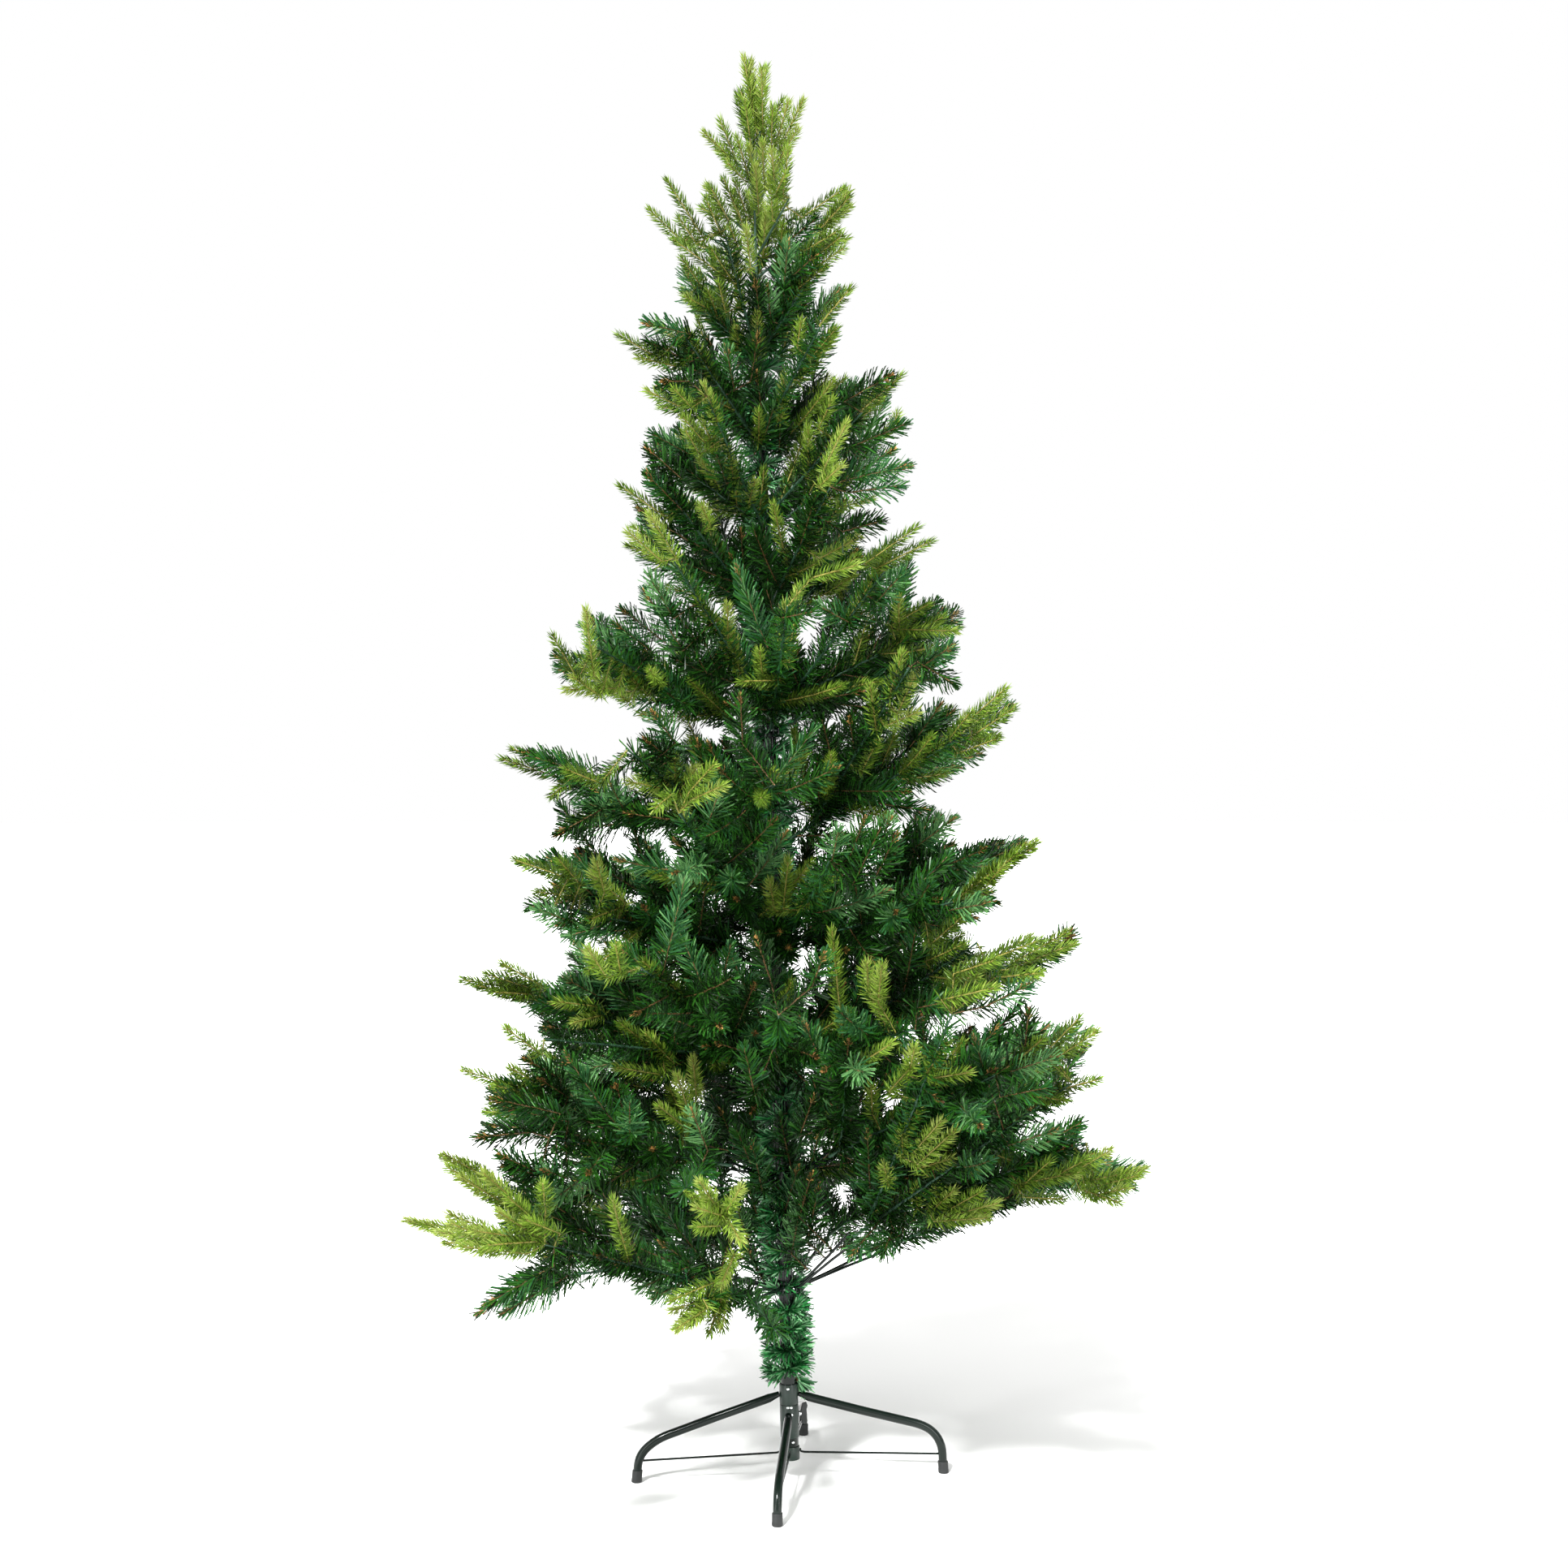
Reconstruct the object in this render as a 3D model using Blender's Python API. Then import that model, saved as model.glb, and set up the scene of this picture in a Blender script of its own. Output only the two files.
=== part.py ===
"""An artificial christmas tree, 2.1 m tall, on a folding steel stand with four legs.

Metres, +Z up. The origin is on the floor, under the middle of the whole tree.
The view of the photograph is along +Y, with +X to the right. Azimuths turn from +X to +Y.
"""
import math
import random

import bmesh
import bpy
import numpy as np
from mathutils import Matrix, Vector
from mathutils.bvhtree import BVHTree

# The pole's axis: where it meets the floor, and its lean to the left
AXIS_FOOT = Vector((0.0100, 0.0120, 0.0))
LEAN = math.radians(1.65)

# The gap between pieces that touch on the real tree
GAP = 0.0003

# Pole: three steel tubes that plug into each other
POLE_BOTTOM = 0.034
POLE_TOP = 1.735
POLE_SECTIONS = ((0.0110, 0.72), (0.0095, 1.36), (0.0080, POLE_TOP))
POLE_SIDES = 12

# Hubs on the pole that carry the hinged boughs
HUB_RADIUS = 0.0190
HUB_HEIGHT = 0.018

# Stand: a tube with three collars, four legs, four wire braces
TUBE_SPAN = (0.027, 0.139)
TUBE_WALL = 0.0011
COLLAR_WALL = 0.0010
UPPER_COLLAR = (0.1090, 0.1380)
LOWER_COLLAR = (0.0600, 0.1082)
BRACE_COLLAR = (0.0275, 0.0465)
LEG_RADIUS = 0.00635
LEG_SIDES = 8
LEG_ROOT_SHARE = 0.72
FOOT_REACH = 0.2270
ELBOW_RADIUS = 0.045
ELBOW_STEPS = 3
ELBOW_SHARE = 0.85
LEG_BOTTOM = 0.0015
FOOT_SPLAY = 0.004
# The stand leans with the pole above this height, and its feet stay level
LEVEL_FEET = 0.06
FOOT_CAP_RADIUS = 0.0079
FOOT_CAP_HEIGHT = 0.0175
FOOT_CAP_FLOOR = 0.0008
BRACE_RADIUS = 0.0012
BRACE_END_HEIGHT = 0.0290
# A leg's name, its azimuth in degrees, and the height of its root and of its knee
LEGS = (
    ("right", 5.9, 0.1235, 0.0710),
    ("left", 185.9, 0.1235, 0.0710),
    ("back", 85.0, 0.0950, 0.0573),
    ("front", 265.0, 0.0950, 0.0573),
)
KNEE_REACH = 0.183
SHOULDER_REACH = 0.032
SHOULDER_DROP = 0.0070
SCREW_AZIMUTH = 18.0
SCREW_HEIGHT = 0.0925

# Tinsel wound round the bare foot of the pole
TINSEL_SPAN = (0.1435, 0.2600)
TINSEL_CORE = 0.0035
TINSEL_REACH = 0.042
TINSEL_TURNS = 4
TINSEL_SIDES = 8

# Rings of hinged boughs: name, height on the pole, reach from the pole, bare length of a bough,
# and the azimuth and rise of each bough in degrees
RINGS = (
    ("low", 0.281, 0.572, 0.145, ((14, 18), (66, 16), (122, 13), (184, 11), (254, 8), (312, 33))),
    ("second", 0.444, 0.495, 0.120, ((14, 24), (86, 18), (160, 21), (232, 14), (304, 20))),
    ("third", 0.607, 0.475, 0.0, ((350, 24), (62, 18), (134, 17), (198, 14), (270, 16))),
    ("fourth", 0.771, 0.410, 0.0, ((12, 24), (105, 21), (190, 18), (280, 20))),
    ("fifth", 0.934, 0.405, 0.0, ((345, 29), (105, 24), (225, 14))),
    ("sixth", 1.098, 0.335, 0.0, ((50, 33), (170, 24), (290, 31))),
)
# How the wires of one bough fan out: the share of the room between boughs, and the extra rise
FANS = {3: ((0.0, 0.0), (-0.32, 7.0), (0.32, -6.0)), 4: ((-0.13, -4), (0.13, 5), (-0.38, 4), (0.38, -3))}
WIRES = {"low": 3, "second": 3, "third": 3, "fourth": 3, "fifth": 4, "sixth": 4}
TIP_LENGTH = {"low": 0.185, "second": 0.180, "third": 0.175, "fourth": 0.170, "fifth": 0.165, "sixth": 0.150}
# The side sprays of a wire: where each leaves the bare wire, and to which side of it in degrees
MAIN_SIDES = ((0.80, 95.0), (0.40, 262.0))
SIDE_SIDES = ((0.70, 80.0), (0.30, 250.0))

# Fixed boughs of the top section: the masses' azimuths, and the levels' height, rise, reach and turn
TIER_AZIMUTHS = (30, 150, 270)
TIER_LEVELS = (
    (1.265, 34.0, 0.268, -9.0),
    (1.400, 34.0, 0.228, 9.0),
    (1.520, 33.0, 0.232, -5.0),
    (1.640, 44.0, 0.155, 11.0),
)
TIER_FAN = 29.0
TIER_STEP = 0.007
TIER_OVERHANG = 0.015
TIER_SPREAD = 0.9
TIER_TIP_LENGTH = 0.125
TIER_SIDES = ((0.60, 95.0),)

# Leader: the shoots that stand on the pole's top
LEADER_LEVELS = ((1.765, 38.0, 0.170, 5), (1.870, 56.0, 0.095, 3))
LEADER_STEP = 0.014
LEADER_TURN = 0.12
LEADER_FORK = 1.930
LEADER_HEIGHT = 2.100
LEADER_SHOOTS = ((345.0, 0.94), (160.0, 0.86))
LEADER_SHOOT_RISE = 78.0
LEADER_TIP_LENGTH = 0.125
LEADER_SPREAD = 0.6

# Wires and sprays of needles
BOUGH_RADII = (0.0034, 0.0027)
STEM_RADIUS = 0.0055
RIDGE_UP = math.radians(-90)
WIRE_RADIUS = 0.0020
ROOT_ROOM = 0.014
FORK_START = 0.006
FORK_STEP = 0.022
TIP_CORE = 0.0027
ROOT_CORE = 0.0013
LONG_TIP = 0.158
LONG_TEETH = 3
SHORT_TEETH = 2
END_SHARE = 0.58
TIP_SPREAD = 0.057
TIP_ANGLE = 42.0
TIP_BARE = 0.014

# Each mass keeps to the points that lie nearer to its own wires than to any other
SPACE_MARGIN = 0.004
POLE_MARGIN = 0.004
LOWEST_NEEDLE = 0.262
TRIES = 40

# Seeds of the random draws: the ring boughs count on from the first
SEED = 41
TIER_SEED = SEED + 100
LEADER_SEED = SEED + 200
SPRAY_SEED_STEP = 5000

# Colours as linear RGB, metallic and roughness
FINISHES = {
    "dark_green_powder_coat": ((0.011, 0.018, 0.015), 0.0, 0.28),
    "grey_cap_plastic": ((0.022, 0.023, 0.022), 0.0, 0.55),
    "tinsel": ((0.012, 0.240, 0.065), 0.0, 0.35),
    "dark_needles": ((0.014, 0.068, 0.026), 0.0, 0.50),
    "fresh_needles": ((0.200, 0.350, 0.060), 0.0, 0.50),
}


def clear_scene():
    for item in list(bpy.data.objects):
        bpy.data.objects.remove(item, do_unlink=True)


def finish(name):
    """The material of that finish, made the first time it is asked for."""
    found = bpy.data.materials.get(name)
    if found:
        return found
    colour, metallic, roughness = FINISHES[name]
    made = bpy.data.materials.new(name)
    made.use_nodes = True
    shader = made.node_tree.nodes["Principled BSDF"]
    shader.inputs["Base Color"].default_value = (*colour, 1.0)
    shader.inputs["Metallic"].default_value = metallic
    shader.inputs["Roughness"].default_value = roughness
    return made


def add_object(name, form, finish_name, smooth=True):
    """Turn a bmesh into a named object with its faces pointing out."""
    bmesh.ops.recalc_face_normals(form, faces=form.faces)
    mesh = bpy.data.meshes.new(name)
    form.to_mesh(mesh)
    form.free()
    if smooth:
        mesh.shade_smooth()
        mesh.set_sharp_from_angle(angle=math.radians(40))
    mesh.materials.append(finish(finish_name))
    item = bpy.data.objects.new(name, mesh)
    bpy.context.scene.collection.objects.link(item)
    return item


def axis_direction():
    return Vector((-math.sin(LEAN), 0.0, math.cos(LEAN)))


def on_axis(height):
    """The point of the leaning pole's axis at that height over the floor."""
    return AXIS_FOOT + axis_direction() * (height / math.cos(LEAN))


def outward(azimuth, rise=0.0):
    """A unit vector away from the pole, azimuth and rise in degrees."""
    turn = math.radians(azimuth)
    lift = math.radians(rise)
    return Vector((math.cos(turn) * math.cos(lift), math.sin(turn) * math.cos(lift), math.sin(lift)))


def side_frame(direction, roll=0.0):
    """Two unit vectors square to a direction, turned about it by roll."""
    upright = Vector((0, 0, 1)) if abs(direction.z) < 0.9 else Vector((1, 0, 0))
    across = direction.cross(upright).normalized()
    over = across.cross(direction).normalized()
    turn = Matrix.Rotation(roll, 3, direction)
    return turn @ across, turn @ over


def turned(profile, sides):
    """A closed ring or rod turned about +Z from (radius, height) points."""
    form = bmesh.new()
    rows = []
    for radius, height in profile:
        if radius == 0.0:
            rows.append([form.verts.new((0, 0, height))])
            continue
        row = []
        for k in range(sides):
            turn = 2 * math.pi * k / sides
            row.append(form.verts.new((radius * math.cos(turn), radius * math.sin(turn), height)))
        rows.append(row)
    pairs = list(zip(rows, rows[1:] + rows[:1]))
    if len(rows[0]) == 1:
        pairs.pop()
    for low, high in pairs:
        for k in range(sides):
            corners = [low[k % len(low)], low[(k + 1) % len(low)]]
            corners += [high[(k + 1) % len(high)], high[k % len(high)]]
            form.faces.new(list(dict.fromkeys(corners)))
    return form


def stand_on_axis(form):
    """Place a shape turned about +Z on the pole's leaning axis, its heights kept."""
    stretch = Matrix.Scale(1.0 / math.cos(LEAN), 4, (0, 0, 1))
    form.transform(Matrix.Translation(AXIS_FOOT) @ Matrix.Rotation(-LEAN, 4, "Y") @ stretch)
    return form


def seat(height, azimuth, end, radius):
    """The start of a wire that runs to that end from a hub's flat side, its square end just clear."""
    half = 180.0 / POLE_SIDES
    off_middle = math.radians(azimuth % (2 * half) - half)
    side = outward(azimuth)
    start = on_axis(height) + side * (HUB_RADIUS * math.cos(math.radians(half)) / math.cos(off_middle) + GAP)
    return start + side * radius * (end - start).normalized().z


def swept(points, radii, sides, across=None):
    """A closed tube of flat-ended rings along the points, its first corner on the side of across."""
    form = bmesh.new()
    rings = []
    for k, point in enumerate(points):
        ahead = (points[min(k + 1, len(points) - 1)] - points[max(k - 1, 0)]).normalized()
        if across is None:
            across, over = side_frame(ahead)
        across = (across - ahead * across.dot(ahead)).normalized()
        over = ahead.cross(across)
        ring = []
        for n in range(sides):
            turn = 2 * math.pi * n / sides
            offset = (across * math.cos(turn) + over * math.sin(turn)) * radii[k]
            ring.append(form.verts.new(point + offset))
        rings.append(ring)
    for near, far in zip(rings, rings[1:]):
        for n in range(sides):
            form.faces.new((near[n], near[(n + 1) % sides], far[(n + 1) % sides], far[n]))
    form.faces.new(rings[0][::-1])
    form.faces.new(rings[-1])
    return form


def make_pole():
    """The whole pole with its hubs, from inside the stand's tube to the leader."""
    hub_heights = [ring[1] for ring in RINGS]
    profile = [(0.0, POLE_BOTTOM)]
    radius = POLE_SECTIONS[0][0]
    profile.append((radius, POLE_BOTTOM))
    for radius, top in POLE_SECTIONS:
        if profile[-1][0] != radius:
            profile.append((radius, profile[-1][1]))
        for height in hub_heights:
            if profile[-1][1] < height - HUB_HEIGHT / 2 and height < top:
                low, high = height - HUB_HEIGHT / 2, height + HUB_HEIGHT / 2
                profile += [(radius, low), (HUB_RADIUS, low), (HUB_RADIUS, high), (radius, high)]
        profile.append((radius, top))
    profile.append((0.0, POLE_TOP))
    add_object("pole", stand_on_axis(turned(profile, POLE_SIDES)), "dark_green_powder_coat")


def ring_profile(inner, outer, span):
    return [(outer, span[0]), (outer, span[1]), (inner, span[1]), (inner, span[0])]


def make_stand_tube():
    """The stand's tube and its three collars, each a ring round the next."""
    inner = POLE_SECTIONS[0][0] + GAP
    outer = inner + TUBE_WALL
    form = turned(ring_profile(inner, outer, TUBE_SPAN), POLE_SIDES)
    add_object("stand_tube", stand_on_axis(form), "dark_green_powder_coat")
    collars = (
        ("upper_collar", UPPER_COLLAR),
        ("lower_collar", LOWER_COLLAR),
        ("brace_collar", BRACE_COLLAR),
    )
    for name, span in collars:
        form = turned(ring_profile(outer + GAP, outer + GAP + COLLAR_WALL, span), POLE_SIDES)
        add_object(name, stand_on_axis(form), "dark_green_powder_coat")
    return outer + GAP + COLLAR_WALL


def leg_line(azimuth, root_height, knee_height, root_reach):
    """The centre line of one bent leg, from its root at the collar down into its foot cap."""
    foot = Vector((FOOT_REACH, LEG_BOTTOM))
    knee = Vector((KNEE_REACH, knee_height))
    shoulder = Vector((SHOULDER_REACH, root_height - SHOULDER_DROP))
    slope = (knee - shoulder).normalized()
    corner = shoulder + slope * ((FOOT_REACH - FOOT_SPLAY - shoulder.x) / slope.x)
    bend = min(ELBOW_RADIUS, (corner - foot).length * ELBOW_SHARE)
    line = [Vector((root_reach, root_height)), shoulder]
    start = corner - slope * bend
    end = corner + (foot - corner).normalized() * bend * 0.75
    for k in range(ELBOW_STEPS + 1):
        t = k / ELBOW_STEPS
        line.append(start * (1 - t) ** 2 + corner * (2 * t * (1 - t)) + end * t ** 2)
    line.append(foot)
    points = []
    for reach, height in line:
        spot = AXIS_FOOT + outward(azimuth) * reach
        spot.x -= height * math.tan(LEAN) * (1.0 - reach / FOOT_REACH)
        fade = min(1.0, height / LEVEL_FEET)
        spot.z = height + math.tan(LEAN) * (spot.x - AXIS_FOOT.x) * fade * (reach / FOOT_REACH)
        points.append(spot)
    return points


def make_legs(collar_radius):
    """Four bent legs, their foot caps and their braces."""
    root_radius = LEG_RADIUS * LEG_ROOT_SHARE
    slope = math.atan2(SHOULDER_DROP, SHOULDER_REACH - collar_radius)
    root_reach = collar_radius + GAP + root_radius * math.sin(slope) * 1.15
    for name, azimuth, root_height, knee_height in LEGS:
        points = leg_line(azimuth, root_height, knee_height, root_reach)
        radii = [root_radius] + [LEG_RADIUS] * (len(points) - 1)
        add_object(f"leg_{name}", swept(points, radii, LEG_SIDES), "dark_green_powder_coat")
        make_foot_cap(name, points)
        make_brace(name, azimuth, points, collar_radius)


def make_foot_cap(name, points):
    """A plastic cap whose flat underside stands on the floor, open upwards round the leg's end."""
    foot = points[-1]
    ahead = (points[-2] - points[-1]).normalized()
    inner = (LEG_RADIUS + GAP) * 1.02
    form = bmesh.new()
    rows = []
    lean = ahead / ahead.z
    for radius, height in (
        (FOOT_CAP_RADIUS, 0.0),
        (FOOT_CAP_RADIUS, FOOT_CAP_HEIGHT),
        (inner, FOOT_CAP_HEIGHT),
        (inner, FOOT_CAP_FLOOR),
    ):
        centre = Vector((foot.x, foot.y, 0.0)) + lean * height - lean * foot.z
        centre.z = height
        row = []
        for k in range(LEG_SIDES + 2):
            turn = 2 * math.pi * k / (LEG_SIDES + 2)
            row.append(form.verts.new(centre + Vector((math.cos(turn), math.sin(turn), 0.0)) * radius))
        rows.append(row)
    sides = len(rows[0])
    for low, high in zip(rows, rows[1:]):
        for k in range(sides):
            form.faces.new((low[k], low[(k + 1) % sides], high[(k + 1) % sides], high[k]))
    form.faces.new(rows[0][::-1])
    form.faces.new(rows[-1])
    add_object(f"foot_cap_{name}", form, "grey_cap_plastic")


def make_brace(name, azimuth, points, collar_radius):
    """A wire from the brace collar to the lower part of a leg."""
    spot = min(points, key=lambda p: abs(p.z - BRACE_END_HEIGHT))
    below = points[-1]
    t = (BRACE_END_HEIGHT - below.z) / (spot.z - below.z)
    target = below.lerp(spot, t)
    start_height = sum(BRACE_COLLAR) / 2
    start = on_axis(start_height) + outward(azimuth) * (collar_radius + GAP)
    ahead = (target - start).normalized()
    over = side_frame(ahead)[1] * BRACE_RADIUS
    leg = np.array([[list(a), list(b)] for a, b in zip(points, points[1:])])
    length = (target - start).length - LEG_RADIUS
    end = start + ahead * length
    while distance(np.array([list(end + over), list(end - over)]), leg).min() < LEG_RADIUS + GAP:
        length -= GAP / 3
        end = start + ahead * length
    add_object(f"brace_{name}", swept([start, end], [BRACE_RADIUS] * 2, 6), "dark_green_powder_coat")


def make_wing_screw(collar_radius):
    """The screw that clamps the pole in the stand, with a flat two-eared head."""
    shank = 0.0085
    outline = (
        (0.0000, -0.0040),
        (0.0025, -0.0150),
        (0.0085, -0.0165),
        (0.0105, -0.0110),
        (0.0075, 0.0000),
        (0.0105, 0.0110),
        (0.0085, 0.0165),
        (0.0025, 0.0150),
        (0.0000, 0.0040),
    )
    half_thickness = 0.0016
    form = bmesh.new()
    sides = []
    for offset in (-half_thickness, half_thickness):
        sides.append([form.verts.new((0.0035 + x, offset, z)) for x, z in outline])
    count = len(outline)
    form.faces.new(sides[0])
    form.faces.new(sides[1][::-1])
    for k in range(count):
        form.faces.new((sides[0][k], sides[1][k], sides[1][(k + 1) % count], sides[0][(k + 1) % count]))
    rod = swept([Vector((0, 0, 0)), Vector((shank, 0, 0))], [0.0027] * 2, 8)
    place = Matrix.Translation(on_axis(SCREW_HEIGHT) + outward(SCREW_AZIMUTH) * (collar_radius + GAP))
    place = place @ Matrix.Rotation(math.radians(SCREW_AZIMUTH), 4, "Z")
    form.transform(place)
    rod.transform(place)
    head = add_object("wing_screw", form, "grey_cap_plastic")
    join_all(head, [add_object("wing_screw_rod", rod, "grey_cap_plastic")])


def make_tinsel():
    """Tinsel round the bare foot of the pole: a sleeve with rows of strips that flare down."""
    inner = (POLE_SECTIONS[0][0] + GAP) / math.cos(math.pi / TINSEL_SIDES)
    outer = inner + TINSEL_CORE
    bottom, top = TINSEL_SPAN
    step = (top - bottom) / TINSEL_TURNS
    form = bmesh.new()
    rows = [[], []]
    for level in range(TINSEL_TURNS + 1):
        height = bottom + step * level
        for side, radius in enumerate((inner, outer)):
            row = []
            for k in range(TINSEL_SIDES):
                turn = 2 * math.pi * (k + 0.5 * (level % 2) * side) / TINSEL_SIDES
                row.append(form.verts.new((radius * math.cos(turn), radius * math.sin(turn), height)))
            rows[side].append(row)
    chance = random.Random(SEED)
    for level in range(TINSEL_TURNS):
        low_in, high_in = rows[0][level], rows[0][level + 1]
        low, high = rows[1][level], rows[1][level + 1]
        for k in range(TINSEL_SIDES):
            after = (k + 1) % TINSEL_SIDES
            form.faces.new((low_in[k], high_in[k], high_in[after], low_in[after]))
            if level % 2 == 0:
                add_strip(form, (low[k], high[k], high[k - 1]), chance)
                add_strip(form, (low[k], low[after], high[k]), chance)
            else:
                add_strip(form, (low[k], low[after], high[after]), chance)
                add_strip(form, (low[after], high[(after + 1) % TINSEL_SIDES], high[after]), chance)
    for k in range(TINSEL_SIDES):
        after = (k + 1) % TINSEL_SIDES
        form.faces.new((rows[0][0][k], rows[0][0][after], rows[1][0][after], rows[1][0][k]))
        form.faces.new((rows[0][-1][k], rows[1][-1][k], rows[1][-1][after], rows[0][-1][after]))
    add_object("pole_tinsel", stand_on_axis(form), "tinsel", smooth=False)


def add_strip(form, base, chance):
    """A pyramid over a facet of the sleeve, its point out and down."""
    middle = sum((corner.co for corner in base), Vector()) / 3
    out = Vector((middle.x, middle.y, 0.0)).normalized()
    reach = TINSEL_REACH * chance.uniform(0.62, 1.0)
    point = form.verts.new(out * reach + Vector((0, 0, middle.z - chance.uniform(-0.002, 0.016))))
    for k in range(3):
        form.faces.new((base[k], base[(k + 1) % 3], point))


def join_all(base, others):
    """Fuse the other closed shapes into the base by one Boolean union, and drop loose scrap."""
    group = bpy.data.collections.new("to_join")
    for item in others:
        for owner in list(item.users_collection):
            owner.objects.unlink(item)
        group.objects.link(item)
    union = base.modifiers.new("join", "BOOLEAN")
    union.operation = "UNION"
    union.operand_type = "COLLECTION"
    union.collection = group
    bpy.context.view_layer.update()
    joined = bpy.data.meshes.new_from_object(base.evaluated_get(bpy.context.evaluated_depsgraph_get()))
    base.modifiers.remove(union)
    base.data = joined
    for item in others:
        bpy.data.objects.remove(item, do_unlink=True)
    bpy.data.collections.remove(group)
    keep_largest(base)


def keep_largest(item):
    """Keep the shell with the most faces: sealed hollows are filled and scrap is dropped."""
    form = bmesh.new()
    form.from_mesh(item.data)
    bmesh.ops.triangulate(form, faces=form.faces)
    left = set(form.faces)
    shells = []
    while left:
        shell = []
        edge_of = [left.pop()]
        while edge_of:
            face = edge_of.pop()
            shell.append(face)
            for edge in face.edges:
                for other in edge.link_faces:
                    if other in left:
                        left.remove(other)
                        edge_of.append(other)
        shells.append(shell)
    shells.sort(key=len, reverse=True)
    scrap = [face for shell in shells[1:] for face in shell]
    if scrap:
        bmesh.ops.delete(form, geom=scrap, context="FACES")
    form.to_mesh(item.data)
    form.free()


def needle_spray(root, direction, roll, bare, length, spread, root_radius, rows):
    """A slim three-sided core, bare at its root, that rows of swept needles stand out of."""
    across, over = side_frame(direction, roll)
    form = bmesh.new()
    rays = []
    for edge in range(3):
        turn = 2 * math.pi * edge / 3
        rays.append(across * math.cos(turn) + over * math.sin(turn))
    stations = [(0.0, root_radius)] if bare else []
    needled = 0.84 * length
    for k in range(rows + 1):
        stations.append((bare + needled * k / rows, TIP_CORE * (1.0 - 0.55 * k / rows)))
    rings = []
    for along, core in stations:
        rings.append([form.verts.new(root + direction * along + ray * core) for ray in rays])
    form.faces.new(rings[0][::-1])
    if bare:
        near, far = rings[0], rings[1]
        for edge in range(3):
            form.faces.new((near[edge], near[(edge + 1) % 3], far[(edge + 1) % 3], far[edge]))
        rings.pop(0)
    for k in range(rows):
        near, far = rings[k], rings[k + 1]
        width = spread * (1.0 - 0.55 * (k / (rows - 1)) ** 2)
        along = bare + needled * (k + 0.42) / rows + width * 0.8
        teeth = [form.verts.new(root + direction * along + ray * width) for ray in rays]
        for edge in range(3):
            after = (edge + 1) % 3
            form.faces.new((near[edge], near[after], teeth[edge]))
            form.faces.new((near[after], far[edge], teeth[edge]))
            form.faces.new((near[after], teeth[after], far[edge]))
            form.faces.new((far[edge], teeth[after], far[after]))
    end = form.verts.new(root + direction * (bare + length))
    for edge in range(3):
        form.faces.new((rings[-1][edge], rings[-1][(edge + 1) % 3], end))
    return form


def distance(points, segments):
    """The least distance of each point from any of the segments."""
    start = segments[:, 0][None]
    run = (segments[:, 1] - segments[:, 0])[None]
    gone = points[:, None] - start
    t = np.clip((gone * run).sum(-1) / (run * run).sum(-1), 0.0, 1.0)
    return np.linalg.norm(gone - run * t[..., None], axis=-1).min(axis=1)


def wire_end(height, azimuth, rise, reach):
    """The end of a wire that leaves the pole at that height."""
    return on_axis(height) + outward(azimuth) * reach + Vector((0, 0, reach * math.tan(math.radians(rise))))


def wire_of(start, end):
    """A wire as its start, the point where its own needles begin, and the length that they cover."""
    run = end - start
    return start, end - run * END_SHARE, run.length * END_SHARE


def ring_masses():
    """The hinged boughs: for each, its bare limb and the wires of its foliage."""
    number = 0
    for name, height, reach, bare, boughs in RINGS:
        room = 360.0 / len(boughs)
        for k, (azimuth, rise) in enumerate(boughs):
            number += 1
            chance = random.Random(SEED + number)
            limb = None
            if bare:
                limb_end = wire_end(height, azimuth, rise, bare)
                limb = (seat(height, azimuth, limb_end, BOUGH_RADII[0]), limb_end)
            wires = []
            for n, (share, lift) in enumerate(FANS[WIRES[name]]):
                far = reach if n == 0 else reach * chance.uniform(0.90, 1.0)
                turn = azimuth + share * room
                end = wire_end(height, turn, rise + lift + chance.uniform(-2, 2), far)
                if n:
                    main, stop, _ = wires[0]
                    start = main + (stop - main).normalized() * (FORK_START + FORK_STEP * n)
                elif bare:
                    start = limb_end + outward(azimuth, rise) * GAP
                else:
                    start = seat(height, turn, end, STEM_RADIUS)
                wires.append(wire_of(start, end))
            yield {
                "name": f"{name}_{k + 1}",
                "seed": SEED + number,
                "limb": limb,
                "wires": wires,
                "sides": (MAIN_SIDES, SIDE_SIDES if WIRES[name] == 3 else SIDE_SIDES[:1]),
                "tip_length": TIP_LENGTH[name],
                "spread": TIP_SPREAD,
                "finish": "dark_needles",
            }


def tier_masses():
    """The fixed boughs of the top section: stems that hug the pole, with wires at each level."""
    pole = max(radius for radius, top in POLE_SECTIONS if top > TIER_LEVELS[0][0])
    for k, azimuth in enumerate(TIER_AZIMUTHS):
        seed = TIER_SEED + k
        chance = random.Random(seed)
        side = outward(azimuth) * (pole + GAP + STEM_RADIUS)
        wires = []
        for height, rise, reach, shift in TIER_LEVELS[::-1]:
            for sign in (-1, 1):
                turn = azimuth + sign * TIER_FAN + shift
                far = reach * chance.uniform(0.93, 1.0)
                end = wire_end(height, turn, rise + chance.uniform(-3, 3), far)
                start = on_axis(height + TIER_STEP * sign) + side
                wires.append(wire_of(start, end))
        foot = on_axis(TIER_LEVELS[0][0] - TIER_OVERHANG) + side
        head = on_axis(TIER_LEVELS[-1][0] + TIER_OVERHANG) + side
        yield {
            "name": f"upper_{k + 1}",
            "seed": seed,
            "limb": None,
            "stem": (foot, head),
            "stem_side": outward(azimuth),
            "wires": wires,
            "sides": (TIER_SIDES, TIER_SIDES),
            "tip_length": TIER_TIP_LENGTH,
            "spread": TIP_SPREAD * TIER_SPREAD,
            "finish": "dark_needles",
        }


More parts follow.
